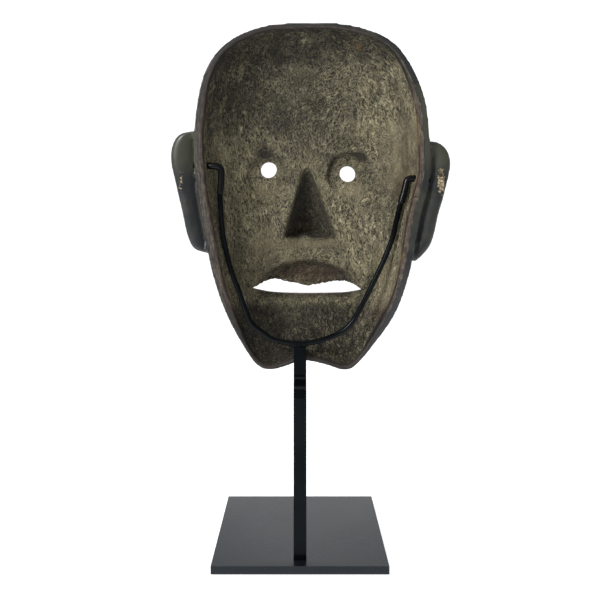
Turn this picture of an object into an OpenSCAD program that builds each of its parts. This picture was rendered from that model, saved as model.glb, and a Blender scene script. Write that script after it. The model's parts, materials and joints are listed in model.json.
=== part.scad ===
// Carved wooden mask hung on a flat-bar display stand.
// Millimetres, +Z up. The origin is the centre of the underside of the base.
// The mask faces -Y and its hollow back faces +Y.

/* [Base] */
// Side of the square base plate
base_side = 130; // [124:1:160]
// Thickness of the base plate
base_thickness = 6; // [6:0.5:10]
// Thickness of the felt sheet under the plate
felt_thickness = 1; // [0.8:0.1:2]
// Distance from the felt's edge to the plate's edge
felt_inset = 2; // [1:0.5:6]

/* [Post] */
// Width of the flat bar
post_width = 9.5; // [8:0.5:12]
// Thickness of the flat bar
post_thickness = 6; // [6:0.5:7]
// Distance from the bar's middle to the plate's rear edge
post_setback = 12; // [8:0.5:16]
// Height of the top of the bar
post_top = 163; // [161:0.5:164]
// Height where the offset bend starts
bend_bottom = 127; // [100:1:130]
// Height where the offset bend ends
bend_top = 142; // [138:1:146]
// Depth of the pocket that the bar stands in
pocket_depth = 2; // [1:0.5:2.5]

/* [Cradle] */
// Distance of the cradle's plane from the middle of the base
cradle_y = 39; // [38.5:0.1:39.5]
// Radius of the cradle rod
rod_r = 2; // [1.5:0.1:2]
// Outer radius of the soft sleeves on the rod's ends
sleeve_r = 2.5; // [2.3:0.1:2.5]
// Length of the straight pin in each tie hole
pin_length = 11; // [8:0.5:11]

/* [Mask] */
// Distance of the rim's plane from the middle of the base
rim_y = 48; // [47:0.5:50]
// How far the rim runs forward at the throat
throat_setback = 12.4; // [12.3:0.1:14]
// Depth of the face from the rim, without its features
face_depth = 58; // [56:1:64]
// Depth of the hollow from the rim, without its pits
hollow_depth = 46; // [40:1:47]
// Radius of the eye holes
eye_r = 6.6; // [5:0.1:7]
// Radial clearance of a sleeve in its tie hole
tie_clearance = 0.08; // [0.05:0.01:0.1]

/* [Hidden] */
$fn = 48;
EPS = 0.01;

plate_top = felt_thickness + base_thickness;
post_foot = plate_top - pocket_depth;
post_foot_y = base_side / 2 - post_setback;
pocket_clearance = 0.1;

// M4 countersunk screw that holds the bar from below
screw_r = 1.95;
screw_hole_r = 2.2;
tapped_r = 2;
tapped_depth = 9;
screw_head_r = 3.8;
screw_head_depth = 2.2;
screw_length = 12;
hex_socket_flats = 2.5;
hex_socket_depth = 1.4;

// Points of the rod's two arms, [x, z], from below the elbows to the top of the bar
LEFT_ARM = [[59.2, 288], [60.1, 278], [59.5, 263], [58.2, 249], [55.8, 235.5], [51.5, 219],
            [46, 204.5], [41, 190], [36.8, 180.5], [30, 174.5], [21, 168.5], [12.5, 166]];
RIGHT_ARM = [[-78.2, 279], [-75.8, 271], [-73.3, 261], [-69.5, 244.5], [-62.5, 226.5],
             [-54, 208.5], [-45, 190.5], [-38.5, 180], [-30, 173], [-18, 168], [-8, 165.6]];
// Where the arms meet over the bar, just clear of its top; the braze closes the gap
join_gap = 0.05;
ARM_JOIN = [2, post_top + rod_r + join_gap];
// Where each pin starts, [x, z], and how far its elbow turns
TIE_LEFT = [62.8, 298.6];
TIE_RIGHT = [-84, 289.6];
ELBOW_LEFT = 85;
ELBOW_RIGHT = 75;
elbow_r = 4;
tie_tilt = atan2(TIE_LEFT.y - TIE_RIGHT.y, TIE_LEFT.x - TIE_RIGHT.x);
tie_bore_r = sleeve_r + tie_clearance;
sleeve_bore_r = rod_r + 0.03;
// Each tie hole is cut from inside the hollow to beyond the outside of the wall
tie_hole_lead = 6;
tie_hole_left = 22;
tie_hole_right = 18;

// Middle of the mask, [x, z]; the lists that follow are measured from it
MASK_MIDDLE = [-8, 275];
// Outer edge of the rim, [x, z], clockwise from the crown as seen from behind
RIM = [[4, 128], [28, 127], [48, 121.5], [64, 112], [76, 97], [83, 75], [86.5, 42], [84.5, 5],
       [79, -28], [71.5, -63], [61, -91], [48, -117], [40, -128], [31, -131], [20, -128.5],
       [5, -124], [-13, -127.5], [-24, -131], [-33, -129], [-44, -115], [-61, -88], [-73, -55],
       [-80.5, -17], [-88.5, 18], [-88, 42], [-84, 73], [-73, 99], [-58, 116], [-38, 124.5],
       [-17, 128]];
RIM_STEPS = 3;
SHELL_RINGS = 25;
hollow_bevel = 2.5;
// Width of the rounding at the rim's outer and inner edges, and its drop into the hollow
rim_outer_round = 0.9;
rim_inner_round = 0.8;
rim_drop = 0.6;
EYE_LEFT = [33.3, 23.8];
EYE_RIGHT = [-30.6, 20.6];
FACE_LINE = 2;
// Mouth slot, [x, z]: its bowed upper lip from one corner to the other, then its lower lip
MOUTH_TOP = [[45, -72], [38, -66.5], [30, -64.3], [17, -66.8], [3, -69.8], [-12, -68],
             [-26, -66.2], [-34, -68], [-40, -73.5]];
MOUTH_BOTTOM = [[-25, -76.2], [5, -77.2], [30, -75.6]];
mouth_tilt = 4;
mouth_level = -71;
mouth_reach_back = 20;
mouth_reach_front = 60;

// Ears: edge points [x, z] from the lobe to the top
EAR_LEFT = [[78, -41.5], [89, -38], [94, -28], [97, -10], [101, 10], [104.6, 27], [103.5, 39],
            [98, 47.5], [88, 50]];
EAR_RIGHT = [[-79, -48], [-88, -38.5], [-92.5, -28], [-96, -12], [-100, 2], [-104.5, 23],
             [-102.5, 35], [-95, 41.5], [-86, 42]];
EAR_STEPS = 2;
EAR_ROWS = 5;
ear_root_y = 14;
ear_back_y = 40;
ear_half_thickness = 2.4;
ear_root_x = 61;
ear_edge_share = 0.4;
ear_root_height = 0.82;

function clamp01(t) = min(1, max(0, t));
function smooth(t) = let (c = clamp01(t)) c * c * (3 - 2 * c);
function bump(p, c, r) = exp(-pow((p.x - c.x) / r.x, 2) - pow((p.y - c.y) / r.y, 2));

// Catmull-Rom curve through four points
function curve_point(a, b, c, d, t) =
    0.5 * (2 * b + (c - a) * t + (2 * a - 5 * b + 4 * c - d) * t * t
           + (3 * b - a - 3 * c + d) * t * t * t);
function closed_curve(pts, steps) = let (n = len(pts))
    [for (i = [0 : n - 1], k = [0 : steps - 1])
        curve_point(pts[(i + n - 1) % n], pts[i], pts[(i + 1) % n], pts[(i + 2) % n], k / steps)];
function open_curve(pts, steps) = let (n = len(pts))
    concat([for (i = [0 : n - 2], k = [0 : steps - 1])
        curve_point(pts[max(0, i - 1)], pts[i], pts[i + 1], pts[min(n - 1, i + 2)], k / steps)],
        [pts[n - 1]]);

// Quads between two rings of n points, split into triangles
function band(n, a, b) =
    [for (j = [0 : n - 1]) let (k = (j + 1) % n)
        each [[a + j, b + j, b + k], [a + j, b + k, a + k]]];

// ---- Stand ----

module base_felt() {
    side = base_side - 2 * felt_inset;
    color("#1b1b1d")
        translate([-side / 2, -side / 2, 0]) cube([side, side, felt_thickness]);
}

module base_plate() {
    color("#53565a") difference() {
        translate([-base_side / 2, -base_side / 2, felt_thickness])
            cube([base_side, base_side, base_thickness]);
        translate([-post_width / 2 - pocket_clearance,
                   post_foot_y - post_thickness / 2 - pocket_clearance, post_foot])
            cube([post_width + 2 * pocket_clearance, post_thickness + 2 * pocket_clearance,
                  pocket_depth + 1]);
        translate([0, post_foot_y, felt_thickness - 1])
            cylinder(h = base_thickness + 1, r = screw_hole_r);
        translate([0, post_foot_y, felt_thickness])
            cylinder(h = screw_head_depth, r1 = screw_head_r, r2 = screw_hole_r);
        translate([0, post_foot_y, felt_thickness - 1]) cylinder(h = 1 + EPS, r = screw_head_r);
    }
}

module post_screw() {
    play = 0.1;
    color("#8d8f92") translate([0, post_foot_y, felt_thickness]) difference() {
        union() {
            cylinder(h = screw_head_depth, r1 = screw_head_r - play, r2 = screw_r);
            cylinder(h = screw_length, r = screw_r);
        }
        translate([0, 0, -EPS])
            cylinder(h = hex_socket_depth, r = hex_socket_flats / sqrt(3), $fn = 6);
    }
}

// Side view of the bar: its middle line [y, z], which shifts to the cradle's plane in the bend
function post_middle(z) =
    [post_foot_y + (cradle_y - post_foot_y) * smooth((z - bend_bottom) / (bend_top - bend_bottom)), z];
function post_edge(z, side) = let (
        d = post_middle(z + 0.1) - post_middle(z - 0.1),
        normal = [d.y, -d.x] / norm(d))
    post_middle(z) + side * post_thickness / 2 * normal;

module post() {
    bend_steps = 12;
    heights = [post_foot,
        each [for (i = [0 : bend_steps]) bend_bottom + (bend_top - bend_bottom) * i / bend_steps],
        post_top];
    outline = concat([for (z = heights) post_edge(z, 1)],
                     [for (i = [len(heights) - 1 : -1 : 0]) post_edge(heights[i], -1)]);
    color("#15171a") difference() {
        rotate([90, 0, 90]) linear_extrude(post_width, center = true) polygon(outline);
        translate([0, post_foot_y, post_foot - 1]) cylinder(h = tapped_depth + 1, r = tapped_r);
    }
}

// ---- Cradle ----

// Rings of n points round a path [x, z] that lies in the cradle's plane
function rod_rings(path, r, n) = let (m = len(path))
    [for (i = [0 : m - 1])
        let (d = path[min(m - 1, i + 1)] - path[max(0, i - 1)], t = d / norm(d))
        each [for (k = [0 : n - 1]) let (a = 360 * k / n)
            [path[i].x + t.y * r * cos(a), cradle_y + r * sin(a), path[i].y - t.x * r * cos(a)]]];

module swept_rod(path, r, n = 12) {
    m = len(path);
    last = (m - 1) * n;
    polyhedron(rod_rings(path, r, n), concat(
        [for (i = [0 : m - 2]) each band(n, i * n, (i + 1) * n)],
        [for (k = [1 : n - 2]) [0, k, k + 1]],
        [for (k = [1 : n - 2]) [last, last + k + 1, last + k]]));
}

module swept_tube(path, r, bore, n = 16) {
    m = len(path);
    inner = m * n;
    last = (m - 1) * n;
    polyhedron(concat(rod_rings(path, r, n), rod_rings(path, bore, n)), concat(
        [for (i = [0 : m - 2]) each band(n, i * n, (i + 1) * n)],
        [for (i = [0 : m - 2]) each band(n, inner + (i + 1) * n, inner + i * n)],
        band(n, inner, 0),
        band(n, last, inner + last)));
}

// Puts its children on the axis of the two tie holes, with +X along it
module on_tie_axis(at) {
    translate([at.x, cradle_y, at.y]) rotate([0, -tie_tilt, 0]) children();
}

module pin(at, side, length, r, overlap = 0) {
    on_tie_axis(at) rotate([0, 90 * side, 0]) translate([0, 0, -overlap])
        cylinder(h = length + overlap, r = r);
}

// Round elbow, [x, z], that leaves its tie hole with a heading and turns down; side is 1 or -1
function elbow(tie, side, turn) = let (
        heading = tie_tilt + (side > 0 ? 180 : 0),
        middle = tie + elbow_r * side * [-sin(heading), cos(heading)])
    [for (a = [0 : 15 : turn]) let (b = heading + side * (a - 90))
        middle + elbow_r * [cos(b), sin(b)]];
function left_end() = elbow(TIE_LEFT, 1, ELBOW_LEFT);
function right_end() = elbow(TIE_RIGHT, -1, ELBOW_RIGHT);
function reversed(v) = [for (i = [len(v) - 1 : -1 : 0]) v[i]];
function fork_path() = concat(left_end(), open_curve(
    concat(LEFT_ARM, [ARM_JOIN], reversed(RIGHT_ARM)), 3), reversed(right_end()));

module cradle_fork() {
    bead_r = 3.4;
    bead_inset = 1;
    bead_box = 2 * (bead_r + 1);
    color("#101214") {
        swept_rod(fork_path(), rod_r);
        pin(TIE_LEFT, 1, pin_length, rod_r, 1);
        pin(TIE_RIGHT, -1, pin_length, rod_r, 1);
        // Braze beads that join the rod to the top of the bar
        for (side = [-1, 1])
            translate([side * (post_width / 2 - bead_inset), cradle_y, post_top]) intersection() {
                sphere(r = bead_r);
                translate([-bead_box / 2, -bead_box / 2, 0]) cube(bead_box);
            }
    }
}

module sleeve(tie, end, arm, side) {
    color("#0c0d0f") {
        swept_tube(concat(end, open_curve([arm[0], arm[1]], 3)), sleeve_r, sleeve_bore_r);
        difference() {
            pin(tie, side, pin_length, sleeve_r, 0.5);
            pin(tie, side, pin_length + 2, sleeve_bore_r, 2);
        }
    }
}

module sleeve_left() { sleeve(TIE_LEFT, left_end(), LEFT_ARM, 1); }
module sleeve_right() { sleeve(TIE_RIGHT, right_end(), RIGHT_ARM, -1); }

// ---- Mask ----

// How far the rim lies in front of the rim's plane
function rim_step(p) = throat_setback * smooth((-45 - p.y) / 78);
// Width of the rim: wider at one side, thin at the crown and the throat
function rim_band(p) = (8.3 - 0.008 * p.x) * (1 - 0.5 * smooth((p.y - 70) / 55))
    * (1 - 0.5 * smooth((-p.y - 85) / 40));

// The carver's face: brows, sockets, cheeks, nose, lips and chin
function nose_height(p) = let (t = clamp01((30 - p.y) / 52))
    (5 + 25 * pow(t, 1.3)) * exp(-pow((p.x - FACE_LINE) / (8 + 12 * t), 2))
    * smooth((p.y + 38) / 14) * smooth((46 - p.y) / 18);
function face_relief(p) = nose_height(p)
    + 4 * bump(p, [FACE_LINE + 30, 44], [26, 9]) + 4 * bump(p, [FACE_LINE - 30, 44], [26, 9])
    - 4 * bump(p, EYE_LEFT, [19, 13]) - 4 * bump(p, EYE_RIGHT, [19, 13])
    + 4 * bump(p, EYE_LEFT, [13, 8]) + 4 * bump(p, EYE_RIGHT, [13, 8])
    + 4 * bump(p, [FACE_LINE + 44, -14], [20, 20]) + 4 * bump(p, [FACE_LINE - 44, -14], [20, 20])
    + 11 * bump(p, [FACE_LINE + 1, -60], [32, 8]) + 12 * bump(p, [FACE_LINE + 1, -84], [28, 8])
    + 9 * bump(p, [FACE_LINE, -110], [24, 13]);

// The pits behind the features: eye recesses, nose and upper lip
function nose_pit(p) = let (
        t = clamp01((26 - p.y) / 58),
        middle = 2.3 - 2.9 * t,
        across = (p.x - middle) / (3 + 20 * t))
    30 * pow(t, 0.8) * max(0, 1 - across * across) * smooth((p.y + 36) / 7);
function lip_pit(p) = let (arch = -47 - 17 * pow((p.x - 2) / 42, 2))
    12 * smooth((arch - p.y) / 8) * smooth((p.y + 80) / 12) * smooth((46 - abs(p.x - 2)) / 16);
function eye_recess(p) =
    5 * smooth((17 - norm(p - [33.5, 17.5])) / 5) + 5 * smooth((18 - norm(p - [-32, 19.5])) / 5);
function hollow_relief(p) = nose_pit(p) + lip_pit(p) + eye_recess(p);

// How square the shell's section is towards the outline point p: 1 is a cone, 0 a box
function face_roundness(p) = 0.66 - 0.36 * smooth((-40 - p.y) / 70);
function hollow_roundness(p) = 0.6 - 0.1 * smooth((-40 - p.y) / 70);
// Share of the full depth at a share s of the way from the middle of the face to the rim
function depth_share(s, roundness) = sqrt(max(0, 1 - pow(s, 2 / roundness)));
// The throat's arch, closed gradually towards the front so that the chin is whole
function chin_drop(p, s) = p.y > -90 ? 0
    : (p.y + 133) * smooth((34 - abs(p.x - 3.5)) / 12) * smooth((1 - s) / 0.08);

// Points [x, depth, z] of the shell's two surfaces and of its rim
function face_point(p, s) = let (
        q = [p.x, p.y - chin_drop(p, s)] * s,
        rise = depth_share(s, face_roundness(p)),
        depth = rim_step(p) + (face_depth - rim_step(p)) * rise)
    [q.x, depth + face_relief(q) * smooth((1 - s) / 0.1), q.y];
function hollow_point(p, s) = let (
        inset = rim_band(p) + hollow_bevel * smooth((1 - s) / 0.04),
        q = p * (1 - inset / norm(p)) * s,
        rise = pow(depth_share(s, hollow_roundness(p)), 1.1),
        lip = rim_step(p) + rim_drop,
        depth = lip + (hollow_depth - lip) * rise)
    [q.x, depth + hollow_relief(q) * smooth((1 - s) / 0.1), q.y];
function rim_point(p, inset) =
    let (q = p * (1 - inset / norm(p))) [q.x, rim_step(p), q.y];

function to_frame(p) = [MASK_MIDDLE.x + p.x, rim_y - p.y, MASK_MIDDLE.y + p.z];

module mask_shell() {
    edge = closed_curve(RIM, RIM_STEPS);
    n = len(edge);
    // Shares of the way to the rim, closer together on the steep walls
    shares = [for (i = [1 : SHELL_RINGS]) sin(90 * i / SHELL_RINGS)];
    rings = concat(
        [for (s = shares) [for (p = edge) face_point(p, s)]],
        [[for (p = edge) rim_point(p, rim_outer_round)],
         [for (p = edge) rim_point(p, rim_band(p) - rim_inner_round)]],
        [for (s = reversed(shares)) [for (p = edge) hollow_point(p, s)]]);
    m = len(rings);
    points = [for (ring = rings) each [for (p = ring) to_frame(p)]];
    poles = [to_frame([0, face_depth + face_relief([0, 0]), 0]),
             to_frame([0, hollow_depth + hollow_relief([0, 0]), 0])];
    face_pole = m * n;
    hollow_pole = face_pole + 1;
    last = (m - 1) * n;
    polyhedron(concat(points, poles), concat(
        [for (i = [0 : m - 2]) each band(n, i * n, (i + 1) * n)],
        [for (j = [0 : n - 1]) [face_pole, j, (j + 1) % n]],
        [for (j = [0 : n - 1]) [hollow_pole, last + (j + 1) % n, last + j]]));
}

// An ear is a leaf that stands back from the side of the head: rows from its root, inside the
// shell's wall, to its edge, with a face side and a back side
module ear(edge_points, side) {
    edge = open_curve(edge_points, EAR_STEPS);
    n = len(edge);
    function leaf_point(e, b, offset) = let (
            root_x = side * (ear_root_x + 0.08 * (e.y + 40)),
            x = root_x + (e.x - root_x) * b,
            back = ear_root_y + (ear_back_y - ear_root_y) * (1 - pow(1 - b, 2)),
            half = ear_half_thickness * (b == 1 ? ear_edge_share : 1))
        [MASK_MIDDLE.x + x - side * offset * half * 0.5, back + offset * half,
         MASK_MIDDLE.y + e.y * (ear_root_height + (1 - ear_root_height) * b)];
    row = EAR_ROWS + 1;
    loop = 2 * row;
    points = [for (e = edge) each concat(
        [for (i = [0 : EAR_ROWS]) leaf_point(e, i / EAR_ROWS, -1)],
        [for (i = [EAR_ROWS : -1 : 0]) leaf_point(e, i / EAR_ROWS, 1)])];
    last = (n - 1) * loop;
    faces = concat(
        [for (i = [0 : n - 2]) each band(loop, i * loop, (i + 1) * loop)],
        [for (k = [0 : row - 2]) each [[k, k + 1, loop - 2 - k], [k, loop - 2 - k, loop - 1 - k]]],
        [for (k = [0 : row - 2]) each
            [[last + k, last + loop - 2 - k, last + k + 1],
             [last + k, last + loop - 1 - k, last + loop - 2 - k]]]);
    polyhedron(points, side > 0 ? faces : [for (f = faces) [f[0], f[2], f[1]]]);
}

module eye_hole(at) {
    translate([MASK_MIDDLE.x + at.x, rim_y, MASK_MIDDLE.y + at.y])
        rotate([90, 0, 0]) cylinder(h = 2 * face_depth, r = eye_r);
}

module mouth_slot() {
    outline = concat(open_curve(MOUTH_TOP, 2), MOUTH_BOTTOM);
    translate([MASK_MIDDLE.x, 0, MASK_MIDDLE.y + mouth_level]) rotate([90 + mouth_tilt, 0, 0])
        translate([0, -mouth_level, -mouth_reach_back])
            linear_extrude(mouth_reach_back + mouth_reach_front) polygon(outline);
}

module mask() {
    color("#4a463b") difference() {
        union() {
            mask_shell();
            ear(EAR_LEFT, 1);
            ear(EAR_RIGHT, -1);
        }
        eye_hole(EYE_LEFT);
        eye_hole(EYE_RIGHT);
        mouth_slot();
        pin(TIE_LEFT, 1, tie_hole_left, tie_bore_r, tie_hole_lead);
        pin(TIE_RIGHT, -1, tie_hole_right, tie_bore_r, tie_hole_lead);
    }
}

base_felt();
base_plate();
post_screw();
post();
cradle_fork();
sleeve_left();
sleeve_right();
mask();
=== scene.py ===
"""Visual model of a carved wooden mask that hangs on a flat-bar display stand.

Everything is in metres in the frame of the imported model: +Z up, the mask's face looks along -Y and
its hollow back along +Y. Shapes that follow the carver's outline are worked out in millimetres from
the middle of the mask and turned into metres when a mesh is made.
"""

import json
import logging
import math
from dataclasses import dataclass, field
from enum import Enum

import bmesh
import bpy
import numpy as np
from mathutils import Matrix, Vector
from mathutils.kdtree import KDTree

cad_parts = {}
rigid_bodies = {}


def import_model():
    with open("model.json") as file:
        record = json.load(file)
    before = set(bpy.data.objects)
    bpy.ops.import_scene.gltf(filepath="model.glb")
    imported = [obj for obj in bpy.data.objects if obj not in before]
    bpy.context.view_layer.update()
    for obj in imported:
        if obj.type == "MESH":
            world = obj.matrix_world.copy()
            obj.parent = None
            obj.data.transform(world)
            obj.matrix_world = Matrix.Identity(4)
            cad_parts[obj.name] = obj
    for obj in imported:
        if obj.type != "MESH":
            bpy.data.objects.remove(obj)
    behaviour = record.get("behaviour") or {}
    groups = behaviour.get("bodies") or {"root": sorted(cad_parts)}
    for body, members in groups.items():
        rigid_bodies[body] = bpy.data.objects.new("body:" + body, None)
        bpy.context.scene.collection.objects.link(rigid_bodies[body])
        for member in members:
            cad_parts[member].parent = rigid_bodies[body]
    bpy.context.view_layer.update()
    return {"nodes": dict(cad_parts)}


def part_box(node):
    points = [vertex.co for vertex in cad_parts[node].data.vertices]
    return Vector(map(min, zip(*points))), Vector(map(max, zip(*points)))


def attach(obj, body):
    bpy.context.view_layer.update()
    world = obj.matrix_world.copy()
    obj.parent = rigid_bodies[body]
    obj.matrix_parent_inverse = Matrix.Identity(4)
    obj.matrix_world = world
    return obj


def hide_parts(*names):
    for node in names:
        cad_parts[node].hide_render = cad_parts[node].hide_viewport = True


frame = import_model()

LOG = logging.getLogger("mask_stand")
MM = 0.001
MERGE_WITHIN = 1e-6
SEED = 7


class Body(Enum):
    """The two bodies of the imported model."""

    STAND = "stand"
    MASK = "mask"


class Slot(Enum):
    """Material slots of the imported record."""

    FELT = "felt"
    BASE_PAINT = "base_paint"
    STAND_PAINT = "stand_paint"
    SLEEVE = "sleeve_rubber"
    ZINC = "zinc_steel"
    WOOD = "carved_wood"


# ---------------------------------------------------------------- small tools


def smooth(t: np.ndarray | float) -> np.ndarray | float:
    """Ease from 0 to 1 as t goes from 0 to 1."""
    c = np.clip(t, 0.0, 1.0)
    return c * c * (3 - 2 * c)


def bump(u: np.ndarray, v: np.ndarray, centre: tuple, radii: tuple) -> np.ndarray:
    """Round hill of height 1 on the plane (u, v).

    Args:
        u: Places across the face.
        v: Places up the face.
        centre: Middle of the hill, (u, v).
        radii: Its reach across and up.

    Returns:
        The hill's height at each place.
    """
    return np.exp(-(((u - centre[0]) / radii[0]) ** 2) - ((v - centre[1]) / radii[1]) ** 2)


def curve_through(points: list, steps: int, closed: bool = False) -> np.ndarray:
    """Catmull-Rom curve through points.

    Args:
        points: The points, each a pair.
        steps: Samples for each stretch between two points.
        closed: Whether the last point joins the first.

    Returns:
        An array of pairs along the curve.
    """
    p = np.array(points, float)
    n = len(p)
    out = []
    for i in range(n if closed else n - 1):
        if closed:
            a, b, c, d = p[i - 1], p[i], p[(i + 1) % n], p[(i + 2) % n]
        else:
            a, b, c, d = p[max(0, i - 1)], p[i], p[i + 1], p[min(n - 1, i + 2)]
        for t in np.arange(steps) / steps:
            out.append(0.5 * (2 * b + (c - a) * t + (2 * a - 5 * b + 4 * c - d) * t * t
                              + (3 * b - a - 3 * c + d) * t ** 3))
    if not closed:
        out.append(p[-1])
    return np.array(out)


def add_object(name: str, data) -> bpy.types.Object:
    """Make an object of mesh, camera or light data and link it to the scene."""
    obj = bpy.data.objects.new(name, data)
    bpy.context.scene.collection.objects.link(obj)
    return obj


def mesh_object(name: str, points: np.ndarray, faces: list) -> bpy.types.Object:
    """Make a mesh object at the origin from points in metres.

    Args:
        name: The object's name.
        points: Its vertices.
        faces: Its faces, as tuples of vertex numbers.

    Returns:
        The new object, linked to the scene.
    """
    mesh = bpy.data.meshes.new(name)
    mesh.from_pydata([tuple(p) for p in points], [], faces)
    mesh.validate()
    return add_object(name, mesh)


def turn_outwards(obj: bpy.types.Object) -> None:
    """Merge doubles and make every face of a closed mesh point outwards."""
    bm = bmesh.new()
    bm.from_mesh(obj.data)
    bmesh.ops.remove_doubles(bm, verts=bm.verts, dist=MERGE_WITHIN)
    bmesh.ops.recalc_face_normals(bm, faces=bm.faces)
    bm.to_mesh(obj.data)
    bm.free()


def finish_modifiers(obj: bpy.types.Object) -> bpy.types.Object:
    """Turn an object's modifiers into its mesh and remove them."""
    bpy.context.view_layer.update()
    graph = bpy.context.evaluated_depsgraph_get()
    mesh = bpy.data.meshes.new_from_object(obj.evaluated_get(graph), depsgraph=graph)
    obj.modifiers.clear()
    old = obj.data
    obj.data = mesh
    if isinstance(old, bpy.types.Mesh):
        bpy.data.meshes.remove(old)
    return obj


def points_of(obj: bpy.types.Object) -> np.ndarray:
    """The vertices of a mesh object, as an array of rows."""
    co = np.empty(len(obj.data.vertices) * 3)
    obj.data.vertices.foreach_get("co", co)
    return co.reshape(-1, 3)


def set_points(obj: bpy.types.Object, co: np.ndarray) -> None:
    """Write an array of rows back to a mesh object's vertices."""
    obj.data.vertices.foreach_set("co", co.ravel())
    obj.data.update()


def store(obj: bpy.types.Object, name: str, values: np.ndarray) -> None:
    """Keep one number for each vertex in a named attribute."""
    mesh = obj.data
    layer = mesh.attributes.get(name) or mesh.attributes.new(name, "FLOAT", "POINT")
    layer.data.foreach_set("value", np.asarray(values, np.float32))


def shade_smooth(obj: bpy.types.Object, angle: float | None = None) -> None:
    """Shade a mesh smoothly, with edges over the angle in degrees left sharp."""
    obj.data.polygons.foreach_set("use_smooth", [True] * len(obj.data.polygons))
    if angle is not None:
        obj.data.set_sharp_from_angle(angle=math.radians(angle))


def dress(obj: bpy.types.Object, material: bpy.types.Material) -> None:
    """Give an object one material."""
    obj.data.materials.clear()
    obj.data.materials.append(material)


def settle(obj: bpy.types.Object, body: Body, slot: Slot, *nodes: str) -> bpy.types.Object:
    """Hand a finished piece to the frame.

    Args:
        obj: The piece.
        body: The body that it moves with.
        slot: The record's material slot of its finish; not used.
        *nodes: CAD nodes that it stands for.

    Returns:
        The piece.
    """
    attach(obj, body.value)
    if nodes:
        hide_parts(*nodes)
    LOG.info("%s: %d faces on body %s", obj.name, len(obj.data.polygons), body.value)
    return obj


# ---------------------------------------------------------------- finishes


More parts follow.
